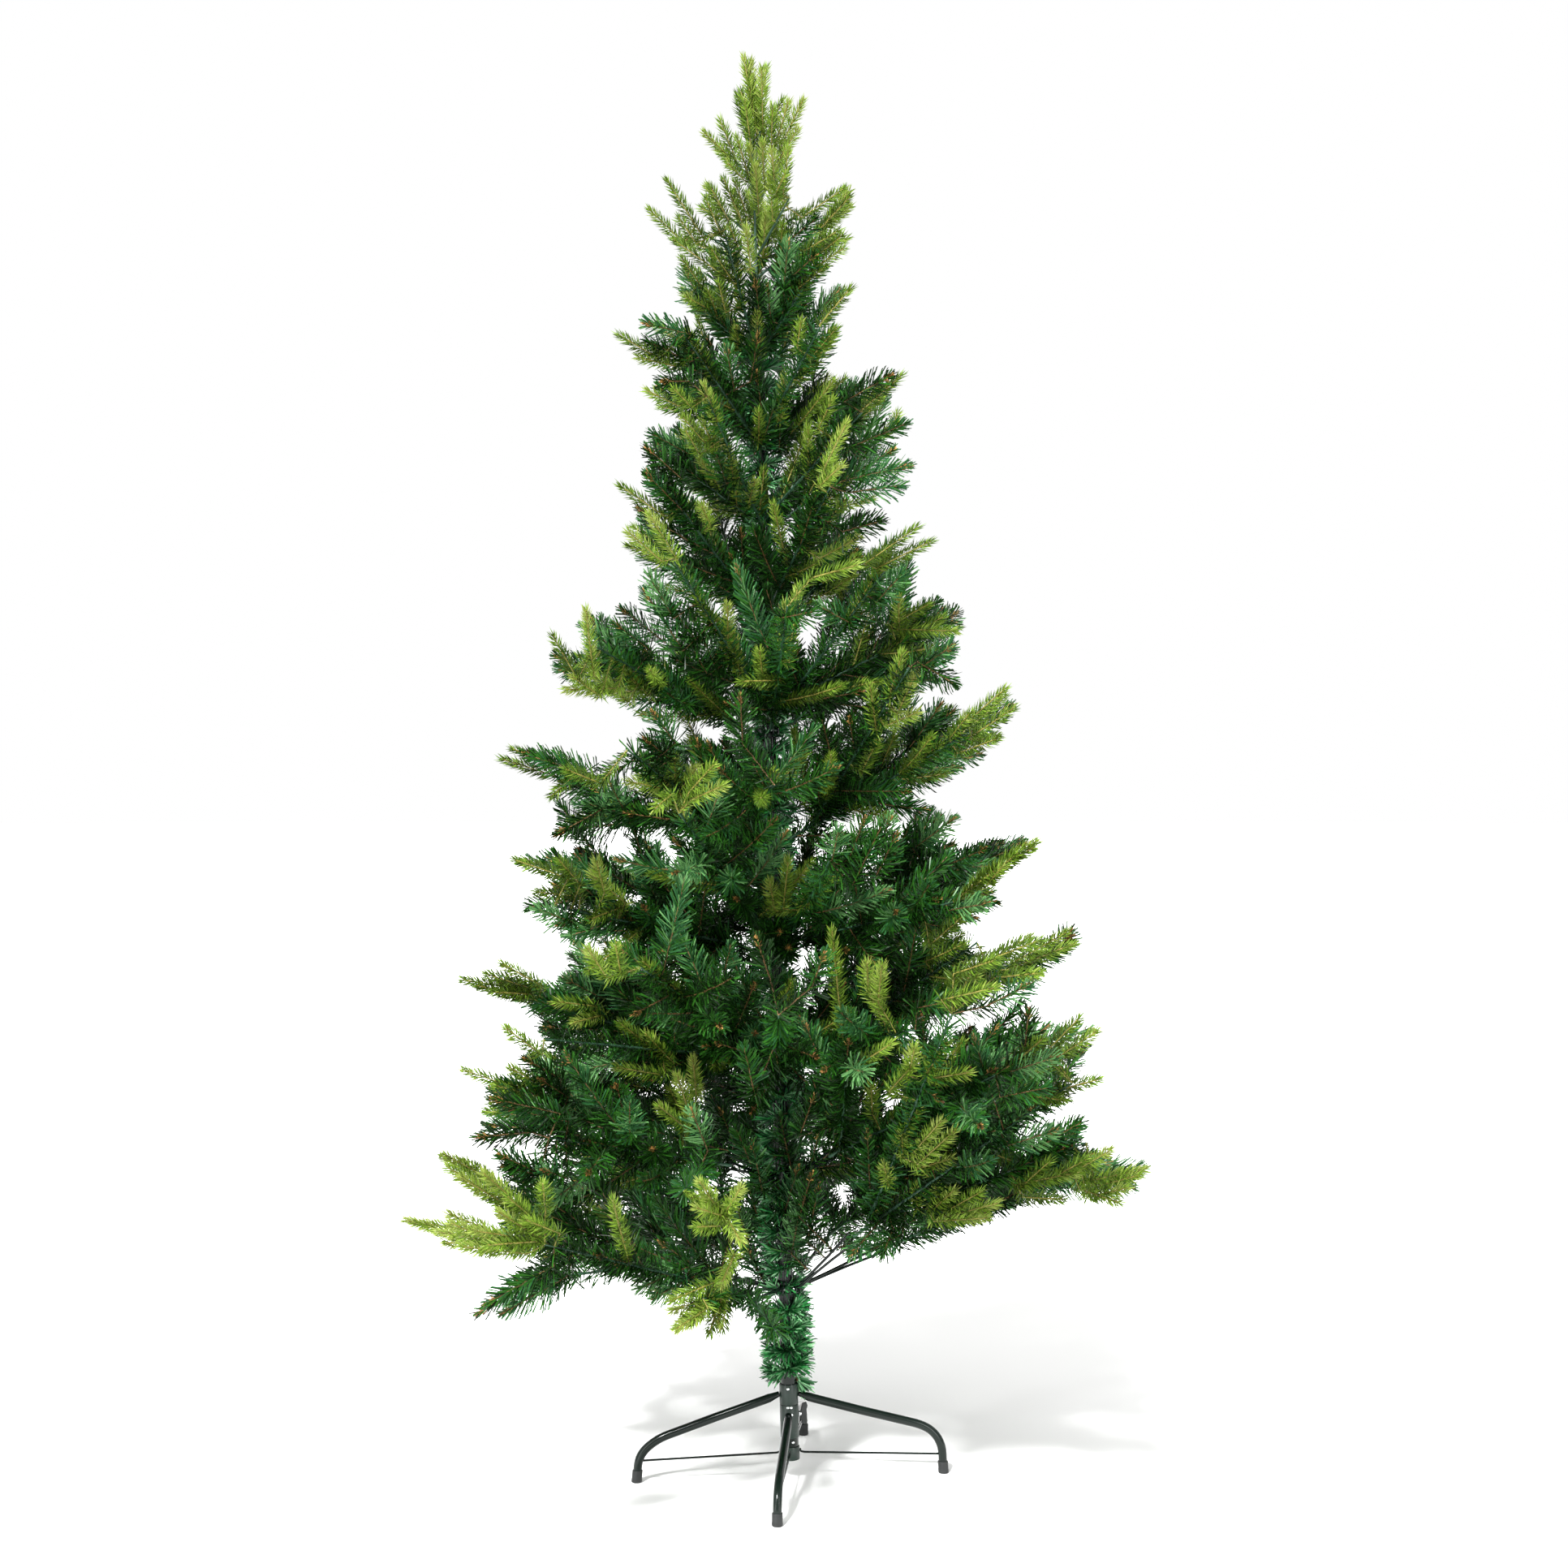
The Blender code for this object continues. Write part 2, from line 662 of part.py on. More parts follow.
def leader_mass():
    """The leader on the pole's top: one upright shoot, side shoots at two levels, and two more on top."""
    chance = random.Random(LEADER_SEED)
    bottom = on_axis(POLE_TOP + GAP)
    top = on_axis(LEADER_HEIGHT)
    wires = [wire_of(bottom, top)]
    for height, rise, reach, count in LEADER_LEVELS:
        for k in range(count):
            azimuth = 360.0 * (k * 2 % count + LEADER_TURN) / count
            end = wire_end(height, azimuth, rise, reach * chance.uniform(0.92, 1.0))
            start = on_axis(height + LEADER_STEP * k)
            wires.append(wire_of(start, end))
    for k, (azimuth, share) in enumerate(LEADER_SHOOTS):
        start = on_axis(LEADER_FORK + LEADER_STEP * k)
        end = start + outward(azimuth, LEADER_SHOOT_RISE) * (LEADER_HEIGHT - start.z) * share
        wires.append(wire_of(start, end))
    return {
        "name": "top",
        "seed": LEADER_SEED,
        "limb": None,
        "wires": wires,
        "sides": ((), ()),
        "tip_length": LEADER_TIP_LENGTH,
        "spread": TIP_SPREAD * LEADER_SPREAD,
        "finish": "fresh_needles",
    }


def fits(form, root, own, others, pole, placed):
    """Whether a spray stays in its mass's own space, clear of the pole and of the other sprays."""
    points = np.array([list(vert.co) for vert in form.verts])
    middles = np.array([list((edge.verts[0].co + edge.verts[1].co) / 2) for edge in form.edges])
    points = np.concatenate([points, middles])
    points = points[np.linalg.norm(points - np.array(root), axis=1) > ROOT_ROOM]
    if points[:, 2].min() < LOWEST_NEEDLE:
        return False
    if (distance(points, own) + SPACE_MARGIN > distance(points, others)).any():
        return False
    if (distance(points, pole) < POLE_SECTIONS[0][0] + POLE_MARGIN).any():
        return False
    tree = BVHTree.FromBMesh(form)
    return not any(tree.overlap(other) for other in placed)


def make_mass(mass, own, others, pole):
    """Fuse one mass of foliage from its wires and the sprays that stay in its space."""
    chance = random.Random(mass["seed"] + SPRAY_SEED_STEP)
    parts = []
    trees = []
    for number, (start, stop, end_length) in enumerate(mass["wires"]):
        ahead = (stop - start).normalized()
        own_stem = number == 0 and "stem" not in mass
        radius = STEM_RADIUS if own_stem else WIRE_RADIUS
        roll = (0.0 if mass["limb"] else RIDGE_UP) if own_stem else chance.uniform(0, 2)
        bare = (stop - start).length
        form = needle_spray(start, ahead, roll, bare, end_length, mass["spread"], radius, LONG_TEETH)
        trees.append(BVHTree.FromBMesh(form))
        parts.append(add_object("piece", form, mass["finish"], False))
    if "stem" in mass:
        form = swept(mass["stem"], [STEM_RADIUS] * 2, 4, mass["stem_side"])
        parts.insert(0, add_object("piece", form, mass["finish"], False))
    for number, (start, stop, end_length) in enumerate(mass["wires"]):
        ahead = (stop - start).normalized()
        length = (stop - start).length
        placed = trees[:number] + trees[number + 1:]
        for share, side in mass["sides"][min(number, 1)]:
            place = start + ahead * length * share
            for attempt in range(TRIES):
                tilt = math.radians(TIP_ANGLE * chance.uniform(0.75, 1.3 + 0.02 * attempt))
                roll = math.radians(side) + chance.uniform(-0.4, 0.4) * (1 + attempt * 0.2)
                across, over = side_frame(ahead, roll)
                direction = (ahead * math.cos(tilt) + across * math.sin(tilt)).normalized()
                size = mass["tip_length"] * chance.uniform(0.88, 1.05) * (1.0 - 0.012 * attempt)
                spread = mass["spread"] * (1.0 - 0.02 * attempt)
                rows = LONG_TEETH if mass["tip_length"] > LONG_TIP else SHORT_TEETH
                roll = chance.uniform(0, 2)
                form = needle_spray(place, direction, roll, TIP_BARE, size - TIP_BARE, spread, ROOT_CORE, rows)
                if fits(form, place, own, others, pole, placed):
                    trees.append(BVHTree.FromBMesh(form))
                    placed.append(trees[-1])
                    parts.append(add_object("piece", form, mass["finish"], False))
                    break
                form.free()
    base = parts[0]
    base.name = f"foliage_{mass['name']}"
    join_all(base, parts[1:])


def reach_segments(mass):
    """The stem and the wires, each wire drawn on to the end of its last spray."""
    drawn = []
    if "stem" in mass:
        drawn.append([list(point) for point in mass["stem"]])
    for start, stop, end_length in mass["wires"]:
        ahead = (stop - start).normalized()
        drawn.append([list(start), list(stop + ahead * end_length)])
    return np.array(drawn)


def make_foliage():
    masses = [*ring_masses(), *tier_masses(), leader_mass()]
    pole = np.array([[list(on_axis(0.0)), list(on_axis(POLE_TOP))]])
    lines = [reach_segments(mass) for mass in masses]
    limbs = [np.array([[list(p) for p in mass["limb"]]]) for mass in masses if mass["limb"]]
    for k, mass in enumerate(masses):
        if mass["limb"]:
            form = swept(list(mass["limb"]), BOUGH_RADII, 8)
            add_object(f"bough_{mass['name']}", form, "dark_green_powder_coat")
        others = np.concatenate([line for n, line in enumerate(lines) if n != k] + limbs)
        make_mass(mass, lines[k], others, pole)


def main():
    clear_scene()
    make_pole()
    collar_radius = make_stand_tube()
    make_legs(collar_radius)
    make_wing_screw(collar_radius)
    make_tinsel()
    make_foliage()


main()
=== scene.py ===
# %% [markdown]
# # An artificial christmas tree on a folding stand
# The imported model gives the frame: the pole, the stand and a plain solid for each mass of needles.
# This notebook dresses it. The steel pieces are turned and swept again with a fine surface, and each
# mass becomes wires, shoots and needles that grow by the same rule as the solid did. Nothing is
# moved or resized on the way, so every piece here fits where its solid stands.

# %% Load the fixed frame
import math
import random

import bmesh
import bpy
from mathutils import Matrix, Vector


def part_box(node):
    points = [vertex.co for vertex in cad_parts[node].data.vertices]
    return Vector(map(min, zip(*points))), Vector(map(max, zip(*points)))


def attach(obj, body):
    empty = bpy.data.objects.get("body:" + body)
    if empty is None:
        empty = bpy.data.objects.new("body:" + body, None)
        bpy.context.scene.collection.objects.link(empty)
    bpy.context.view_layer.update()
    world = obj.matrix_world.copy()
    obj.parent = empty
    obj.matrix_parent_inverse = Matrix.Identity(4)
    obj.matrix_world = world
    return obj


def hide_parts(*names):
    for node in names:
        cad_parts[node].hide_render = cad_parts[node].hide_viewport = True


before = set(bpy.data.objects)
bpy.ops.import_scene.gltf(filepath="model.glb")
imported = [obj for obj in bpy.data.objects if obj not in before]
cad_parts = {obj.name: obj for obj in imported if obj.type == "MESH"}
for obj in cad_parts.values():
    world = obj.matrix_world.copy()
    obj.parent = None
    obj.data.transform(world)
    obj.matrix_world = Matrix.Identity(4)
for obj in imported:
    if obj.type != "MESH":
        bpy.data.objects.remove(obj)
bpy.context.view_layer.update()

# %% [markdown]
# ## Colours, nodes and finishes
# Colours are easiest to choose as the hex values of a picture, which are sRGB, but the shaders work
# in linear light. One function does that conversion. A second one adds a node and wires it up, for
# shaders and for Geometry Nodes alike, so that a tree of nodes reads as a list of steps.

# %% Helpers for colours and nodes
BODY = "root"
MM = 0.001


def linear(hex_colour):
    """Turn an sRGB hex value into linear RGBA."""
    channels = [int(hex_colour[k : k + 2], 16) / 255 for k in (1, 3, 5)]
    return (*(c / 12.92 if c <= 0.04045 else ((c + 0.055) / 1.055) ** 2.4 for c in channels), 1.0)


def node(tree, kind, inputs=(), **settings):
    """Add a node. Settings are its own values; inputs are numbers or sockets, by name or place."""
    made = tree.nodes.new(kind)
    for name, value in settings.items():
        setattr(made, name, value)
    for name, value in dict(inputs).items():
        if isinstance(value, bpy.types.NodeSocket):
            tree.links.new(value, made.inputs[name])
        else:
            made.inputs[name].default_value = value
    return made


# %% [markdown]
# A finish here is two near tones in soft patches, with a fine grain in its relief. The patches are
# worked out from a size in millimetres on Object coordinates: the objects sit at the origin, so
# those are metres in the tree's own space, and a pattern scale is one over the patch size.

# %% A finish of two near tones
# Where one tone ends and the other begins, on the noise's scale from 0 to 1
TONE_EDGES = (0.35, 0.65)


def make_finish(name, tones, patch_mm, roughness, grain_mm=0.0, relief_mm=0.0, **uniform):
    """A material with two tones in patches and a fine relief; uniform values go on the shader."""
    made = bpy.data.materials.new(name)
    made.use_nodes = True
    tree = made.node_tree
    shader = tree.nodes["Principled BSDF"]
    place = node(tree, "ShaderNodeTexCoord").outputs["Object"]
    inputs = {"Vector": place, "Scale": 1 / (patch_mm * MM), "Detail": 2.0}
    patches = node(tree, "ShaderNodeTexNoise", inputs)
    ramp = node(tree, "ShaderNodeValToRGB", {"Fac": patches.outputs["Fac"]})
    for element, tone, edge in zip(ramp.color_ramp.elements, tones, TONE_EDGES):
        element.color = linear(tone)
        element.position = edge
    tree.links.new(ramp.outputs["Color"], shader.inputs["Base Color"])
    if grain_mm:
        inputs = {"Vector": place, "Scale": 1 / (grain_mm * MM), "Detail": 3.0}
        grain = node(tree, "ShaderNodeTexNoise", inputs)
        bump = node(tree, "ShaderNodeBump", {"Height": grain.outputs["Fac"], "Distance": relief_mm * MM})
        tree.links.new(bump.outputs["Normal"], shader.inputs["Normal"])
    shader.inputs["Roughness"].default_value = roughness
    for socket, value in uniform.items():
        shader.inputs[socket.replace("_", " ")].default_value = value
    made.diffuse_color = linear(tones[0])
    return made


# %% [markdown]
# ## Where the tree stands
# The four foot caps stand at one reach round the pole's foot, so their mean is the point where the
# pole's axis meets the floor. From there the axis leans a little to the left, as on the real tree.

# %% The pole's axis
FEET = ("right", "left", "back", "front")
LEAN = math.radians(1.65)

cap_middles = [sum(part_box(f"foot_cap_{name}"), Vector()) / 2 for name in FEET]
AXIS_FOOT = sum(cap_middles, Vector()) / len(FEET)
AXIS_FOOT.z = 0.0
print("the axis meets the floor at", [round(value, 4) for value in AXIS_FOOT])


def on_axis(height):
    """The point of the leaning axis at that height."""
    return AXIS_FOOT + Vector((-math.tan(LEAN) * height, 0.0, height))


def outward(azimuth, rise=0.0):
    """A unit vector away from the pole, azimuth and rise in degrees."""
    turn = math.radians(azimuth)
    lift = math.radians(rise)
    return Vector((math.cos(turn) * math.cos(lift), math.sin(turn) * math.cos(lift), math.sin(lift)))


def side_frame(direction, roll=0.0):
    """Two unit vectors square to a direction, turned about it by roll."""
    upright = Vector((0, 0, 1)) if abs(direction.z) < 0.9 else Vector((1, 0, 0))
    across = direction.cross(upright).normalized()
    over = across.cross(direction).normalized()
    turn = Matrix.Rotation(roll, 3, direction)
    return turn @ across, turn @ over


# %% [markdown]
# ## Camera
# The photograph was taken level, from 3.45 m, with the lens about half way up the tree. A square
# frame 1932 pixels wide and a focal length of 2889 of those pixels give the lens on a 36 mm sensor.

# %% Camera
FRAME_PX = 1932
FOCAL_PX = 2889
CAMERA_BACK = 3.45
CAMERA_HEIGHT = 1.02
CAMERA_LEFT = 0.0105

scene = bpy.context.scene


def add_object(name, data):
    """An object that holds the data, in the scene."""
    made = bpy.data.objects.new(name, data)
    scene.collection.objects.link(made)
    return made


camera_data = bpy.data.cameras.new("camera")
camera_data.sensor_width = 36.0
camera_data.lens = camera_data.sensor_width * FOCAL_PX / FRAME_PX
camera_data.clip_end = 200.0
camera = add_object("camera", camera_data)
camera.location = AXIS_FOOT + Vector((-CAMERA_LEFT, -CAMERA_BACK, CAMERA_HEIGHT))
camera.rotation_euler = (math.radians(90), 0, 0)
scene.camera = camera
print("lens", round(camera_data.lens, 2), "mm at", [round(value, 3) for value in camera.location])


def pixel(point):
    """Where a point shows in the photograph's frame, in its pixels."""
    away = point - camera.location
    return FRAME_PX / 2 + FOCAL_PX * away.x / away.y, FRAME_PX / 2 - FOCAL_PX * away.z / away.y


# %% [markdown]
# ## Light and floor
# The light is a white studio: an even white world, a broad soft sun from the front above, and two
# tall soft boxes whose reflections run down the round steel tubes. The floor is one wide white disc
# just under the foot caps, so large that its edge never shows. A picture of a studio could light the
# tree too, but with a few lamps each part of the light can be seen and changed by itself.

# %% Light and floor
WHITE = (1.0, 1.0, 1.0, 1.0)
SUN_PLACE = (-1.2, -2.6, 4.0)
SUN_AIM = (0, 0, 0.8)
SUN_STRENGTH = 8.0
SUN_DEGREES = 8
SOFT_BOXES = {"soft_box_left": (-2.2, -2.4, 1.2), "soft_box_right": (2.2, -2.4, 1.2)}
SOFT_BOX_AIM = (0, 0, 0.9)
SOFT_BOX_WATTS = 45.0
SOFT_BOX_WIDTH = 0.3
SOFT_BOX_HEIGHT = 2.6
FLOOR_RADIUS = 60.0
FLOOR_DROP = 0.0005

scene.view_settings.view_transform = "Standard"
world = bpy.data.worlds.new("white_studio")
world.use_nodes = True
world.node_tree.nodes["Background"].inputs["Color"].default_value = WHITE
world.node_tree.nodes["Background"].inputs["Strength"].default_value = 1.0
scene.world = world


def add_light(name, kind, place, aim, energy, **settings):
    """A lamp at a place, aimed at a point."""
    data = bpy.data.lights.new(name, kind)
    data.energy = energy
    for setting, value in settings.items():
        setattr(data, setting, value)
    lamp = add_object(name, data)
    lamp.location = place
    lamp.rotation_euler = (Vector(aim) - Vector(place)).to_track_quat("-Z", "Y").to_euler()
    return lamp


add_light("broad_sun", "SUN", SUN_PLACE, SUN_AIM, SUN_STRENGTH, angle=math.radians(SUN_DEGREES))
for name, place in SOFT_BOXES.items():
    add_light(
        name, "AREA", place, SOFT_BOX_AIM, SOFT_BOX_WATTS,
        shape="RECTANGLE", size=SOFT_BOX_WIDTH, size_y=SOFT_BOX_HEIGHT,
    )

form = bmesh.new()
bmesh.ops.create_circle(form, cap_ends=True, segments=96, radius=FLOOR_RADIUS)
floor_mesh = bpy.data.meshes.new("floor")
form.to_mesh(floor_mesh)
form.free()
floor = add_object("floor", floor_mesh)
floor.location = (0, 0, -FLOOR_DROP)
# Matt white studio paint: no gloss, so that nothing of the tree mirrors in it
floor_mesh.materials.append(make_finish("matt_white_paint", ("#FCFCFB", "#FDFDFC"), 400, 0.9))
print("a sun,", len(SOFT_BOXES), "soft boxes and a floor", 2 * FLOOR_RADIUS, "m wide")

# %% [markdown]
# ## Turned and swept shapes
# Round steel pieces are either turned, as a profile spun about the pole, or swept, as a round
# section carried along a bent line. A Screw or a bevelled curve would do too; plain rings of
# vertices are used because the ends can then be rounded or pressed flat by changing single rings.

# %% Shapes for the steel pieces
# How much wider a squeezed ring grows, as a share of what it loses in height
SIDE_SPREAD = 0.45


def keep(piece, slot, *nodes):
    """Let a piece ride on the tree and hide the nodes that it stands for; the slot is not used."""
    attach(piece, BODY)
    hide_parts(*nodes)
    return piece


def add_piece(name, form, material, sharp=35):
    """Turn a bmesh into a smooth-shaded piece with its faces pointing out."""
    bmesh.ops.recalc_face_normals(form, faces=form.faces)
    mesh = bpy.data.meshes.new(name)
    form.to_mesh(mesh)
    form.free()
    mesh.shade_smooth()
    mesh.set_sharp_from_angle(angle=math.radians(sharp))
    mesh.materials.append(material)
    return add_object(name, mesh)


def add_rings(form, rings, closed_ends=True):
    """Join rings of points into a tube in the bmesh."""
    rows = [[form.verts.new(point) for point in ring] for ring in rings]
    count = len(rows[0])
    for near, far in zip(rows, rows[1:]):
        for k in range(count):
            form.faces.new((near[k], near[(k + 1) % count], far[(k + 1) % count], far[k]))
    if closed_ends:
        form.faces.new(rows[0][::-1])
        form.faces.new(rows[-1])
    else:
        for k in range(count):
            form.faces.new((rows[-1][k], rows[-1][(k + 1) % count], rows[0][(k + 1) % count], rows[0][k]))


def turns_of(sides):
    """The angles of the points of a ring."""
    return [2 * math.pi * k / sides for k in range(sides)]


def turned(form, profile, sides, place, hollow=False):
    """Spin (radius, height) points about +Z and put the result at a place, into the bmesh."""
    turns = turns_of(sides)
    rings = []
    for radius, height in profile:
        rings.append([place @ Vector((radius * math.cos(t), radius * math.sin(t), height)) for t in turns])
    add_rings(form, rings, closed_ends=not hollow)


def swept(form, points, radii, sides, flats=None):
    """Carry a round section along points; flats squeezes single rings and widens them sideways."""
    turns = turns_of(sides)
    rings = []
    across = None
    for k, point in enumerate(points):
        ahead = (points[min(k + 1, len(points) - 1)] - points[max(k - 1, 0)]).normalized()
        if across is None:
            across = side_frame(ahead)[0]
        across = (across - ahead * across.dot(ahead)).normalized()
        over = ahead.cross(across)
        flat = flats[k] if flats else 1.0
        wide = 1.0 + (1.0 - flat) * SIDE_SPREAD
        spokes = [across * math.cos(t) * wide + over * math.sin(t) * flat for t in turns]
        rings.append([point + spoke * radii[k] for spoke in spokes])
    add_rings(form, rings)


STAND_PLACE = Matrix.Translation(AXIS_FOOT) @ Matrix.Rotation(-LEAN, 4, "Y")

# %% [markdown]
# ## Powder coat, caps and zinc
# The pole and the stand are steel tube under a gloss powder coat of a green so dark that it reads
# as black in shade. Powder coat flows out like a thick varnish, with a faint orange peel of a few
# millimetres. The foot caps and the wing screw's head are satin moulded plastic. One flat colour
# would do from afar, but near tones and a faint relief keep a close view from looking empty.

# %% Finishes of the stand
# Gloss powder coat on steel: a dark dielectric skin, so no metallic value
powder_coat = make_finish(
    "gloss_powder_coat", ("#08100C", "#0C1511"), 60, 0.15, grain_mm=2.5, relief_mm=0.02, IOR=1.52,
    Specular_IOR_Level=0.22,
)
# The pressed collars show the same coat with a satin look, because it lies on rolled sheet
collar_coat = make_finish(
    "satin_powder_coat", ("#18241E", "#1F2C26"), 25, 0.36, grain_mm=0.9, relief_mm=0.03, IOR=1.5,
    Specular_IOR_Level=0.3,
)
# Moulded polyethylene caps: a dull, slightly waxy black-grey
cap_plastic = make_finish(
    "moulded_polyethylene", ("#171918", "#1E2020"), 12, 0.5, grain_mm=0.6, relief_mm=0.04, IOR=1.51,
    Specular_IOR_Level=0.3,
)
# Zinc-plated steel pins and rivets: bright, a little cloudy
zinc_plate = make_finish("zinc_plated_steel", ("#B9BDBC", "#D8DADA"), 3, 0.28, Metallic=1.0)
print("stand finishes:", powder_coat.name, collar_coat.name, cap_plastic.name, zinc_plate.name)

# %% [markdown]
# ## The pole
# Three tubes plug into each other, each one size smaller, and the joint shows as a rolled edge.
# On it sit the stamped hubs that the boughs hinge on. The profile repeats the solid's radii, with
# small bevels at every edge, so that the edges catch light instead of looking cut.

# %% Pole and hubs
POLE_BOTTOM = 0.034
POLE_TOP = 1.735
POLE_SECTIONS = ((0.0110, 0.72), (0.0095, 1.36), (0.0080, POLE_TOP))
HUB_RADIUS = 0.0190
HUB_HEIGHT = 0.018
# Width of the bevel at an edge, and the play between two tubes
EDGE = 0.0008
GAP = 0.0003
NEAR_AXIS = 0.001
POLE_SIDES = 40

profile = [(NEAR_AXIS, POLE_BOTTOM), (POLE_SECTIONS[0][0], POLE_BOTTOM)]
for k, (radius, top) in enumerate(POLE_SECTIONS):
    profile.append((radius, top - EDGE))
    profile.append((radius - EDGE, top))
    if k + 1 < len(POLE_SECTIONS):
        profile.append((POLE_SECTIONS[k + 1][0], top + EDGE))
profile.append((NEAR_AXIS, POLE_TOP))
form = bmesh.new()
turned(form, profile, POLE_SIDES, STAND_PLACE)
pole = keep(add_piece("pole_tubes", form, powder_coat), "green_powder_coat", "pole")
print("pole", len(pole.data.polygons), "faces")

# %% [markdown]
# ## The stand's tube, collars and rivets
# Three pressed collars slide on the stand's tube. The legs hinge on the upper two, and the wire
# braces on the lowest. Each collar is turned as a closed ring with rolled edges. A cylinder with a
# Solidify modifier would be quicker, but its rims would stay sharp and catch no light.

# %% Tube and collars
TUBE_INNER = POLE_SECTIONS[0][0] + GAP
TUBE_WALL = 0.0011
TUBE_OUTER = TUBE_INNER + TUBE_WALL
COLLAR_WALL = 0.0010
COLLAR_INNER = TUBE_OUTER + GAP
COLLAR_OUTER = COLLAR_INNER + COLLAR_WALL
TUBE_SPAN = (0.027, 0.139)
# Lowest and highest point of each collar along the tube
COLLARS = {
    "upper_collar": (0.1090, 0.1380), "lower_collar": (0.0600, 0.1082), "brace_collar": (0.0275, 0.0465),
}
# How far a rolled edge is rounded
ROLL = 0.0006


def ring_wall(inner, outer, low, high):
    """The closed profile of a thin ring with rolled edges."""
    return [
        (inner, low + ROLL), (inner + ROLL / 2, low), (outer - ROLL / 2, low), (outer, low + ROLL),
        (outer, high - ROLL), (outer - ROLL / 2, high), (inner + ROLL / 2, high), (inner, high - ROLL),
    ]


form = bmesh.new()
turned(form, ring_wall(TUBE_INNER, TUBE_OUTER, *TUBE_SPAN), POLE_SIDES, STAND_PLACE, hollow=True)
keep(add_piece("sleeve_tube", form, powder_coat), "green_powder_coat", "stand_tube")
for name, span in COLLARS.items():
    form = bmesh.new()
    turned(form, ring_wall(COLLAR_INNER, COLLAR_OUTER, *span), POLE_SIDES, STAND_PLACE, hollow=True)
    keep(add_piece(f"{name}_pressing", form, collar_coat), "green_powder_coat", name)
print("stand tube and", len(COLLARS), "collars")

# %% [markdown]
# The collars hold dome-headed rivets, which show in the photograph as small bright points. Half a
# sphere would stand out too far, so a dome of a few turned rings is used, half as high as its radius.
# All are one mesh, set by azimuth and height as they show to the camera, which looks along +Y.

# %% Rivets
RIVET_RADIUS = 0.0022
RIVET_LIFT = 0.0011
DOME_STEPS = (0, 30, 55, 75)
DOME_SIDES = 14
# Azimuth in degrees and height of each rivet; 270 faces the camera
RIVETS = (
    (266, 0.1330), (262, 0.1055), (283, 0.1055), (285, 0.0950), (290, 0.0545), (96, 0.1330), (88, 0.1055),
)


def dome(form, place, radius, lift):
    """A low dome standing on its place's XY plane."""
    steps = [math.radians(angle) for angle in DOME_STEPS]
    turned(form, [(radius * math.cos(a), lift * math.sin(a)) for a in steps], DOME_SIDES, place)


def facing(point, direction):
    """A placement at a point whose +Z looks along a direction."""
    return Matrix.Translation(point) @ direction.to_track_quat("Z", "Y").to_matrix().to_4x4()


form = bmesh.new()
for azimuth, height in RIVETS:
    side = outward(azimuth)
    dome(form, facing(on_axis(height) + side * COLLAR_OUTER, side), RIVET_RADIUS, RIVET_LIFT)
keep(add_piece("rivets", form, zinc_plate), "green_powder_coat")
print("rivets", len(RIVETS))

# %% [markdown]
# ## Legs, caps and braces
# A leg is one steel tube: pressed flat where its rivet goes, straight, then bent down at the foot.
# The line is the solid's, read again with more points in the bend, and its section is squeezed at
# the root by scaling single rings. Sweeping by hand keeps the tube's width true through the bend.

# %% Leg lines
LEG_RADIUS = 0.00635
# Reach and height of the foot, and how much wider the foot stands than the leg's bend
FOOT_REACH = 0.2270
LEG_BOTTOM = 0.0015
FOOT_SPLAY = 0.004
# Size of the bend, the most of the way to the floor that it takes, and its share below the corner
ELBOW_RADIUS = 0.045
ELBOW_SHARE = 0.85
ELBOW_END = 0.75
# Below this height the pole's lean fades out, so that all the feet stand level
LEVEL_FEET = 0.06
KNEE_REACH = 0.183
# The short bend beside the collar, where the flat root turns into the round tube
SHOULDER_REACH = 0.032
SHOULDER_DROP = 0.0070
SHOULDER_STEPS = (0.5, 0.85)
SHOULDER_END = 0.006
# Azimuth, height of the root and height of the knee
LEGS = {
    "right": (5.9, 0.1235, 0.0710), "left": (185.9, 0.1235, 0.0710),
    "back": (85.0, 0.0950, 0.0573), "front": (265.0, 0.0950, 0.0573),
}
ELBOW_STEPS = 14
ROOT_REACH = COLLAR_OUTER + 0.0002


def leg_line(azimuth, root_height, knee_height):
    """The centre line of one bent leg, from its root at the collar down into its foot cap."""
    foot = Vector((FOOT_REACH, LEG_BOTTOM))
    knee = Vector((KNEE_REACH, knee_height))
    shoulder = Vector((SHOULDER_REACH, root_height - SHOULDER_DROP))
    slope = (knee - shoulder).normalized()
    corner = shoulder + slope * ((FOOT_REACH - FOOT_SPLAY - shoulder.x) / slope.x)
    bend = min(ELBOW_RADIUS, (corner - foot).length * ELBOW_SHARE)
    root = Vector((ROOT_REACH, root_height))
    line = [root] + [root.lerp(shoulder, share) for share in SHOULDER_STEPS]
    line.append(shoulder + slope * SHOULDER_END)
    start = corner - slope * bend
    end = corner + (foot - corner).normalized() * bend * ELBOW_END
    line.append(line[-1].lerp(start, 0.5))
    for k in range(ELBOW_STEPS + 1):
        t = k / ELBOW_STEPS
        line.append(start * (1 - t) ** 2 + corner * (2 * t * (1 - t)) + end * t**2)
    line.append(foot)
    points = []
    for reach, height in line:
        spot = AXIS_FOOT + outward(azimuth) * reach
        spot.x -= height * math.tan(LEAN) * (1.0 - reach / FOOT_REACH)
        fade = min(1.0, height / LEVEL_FEET)
        spot.z = height + math.tan(LEAN) * (spot.x - AXIS_FOOT.x) * fade * (reach / FOOT_REACH)
        points.append(spot)
    return points


# %% [markdown]
# Each leg is swept along its line as one closed tube. Its first rings are narrower and flatter than
# the rest, because the real tube is pressed flat where the rivet goes through.

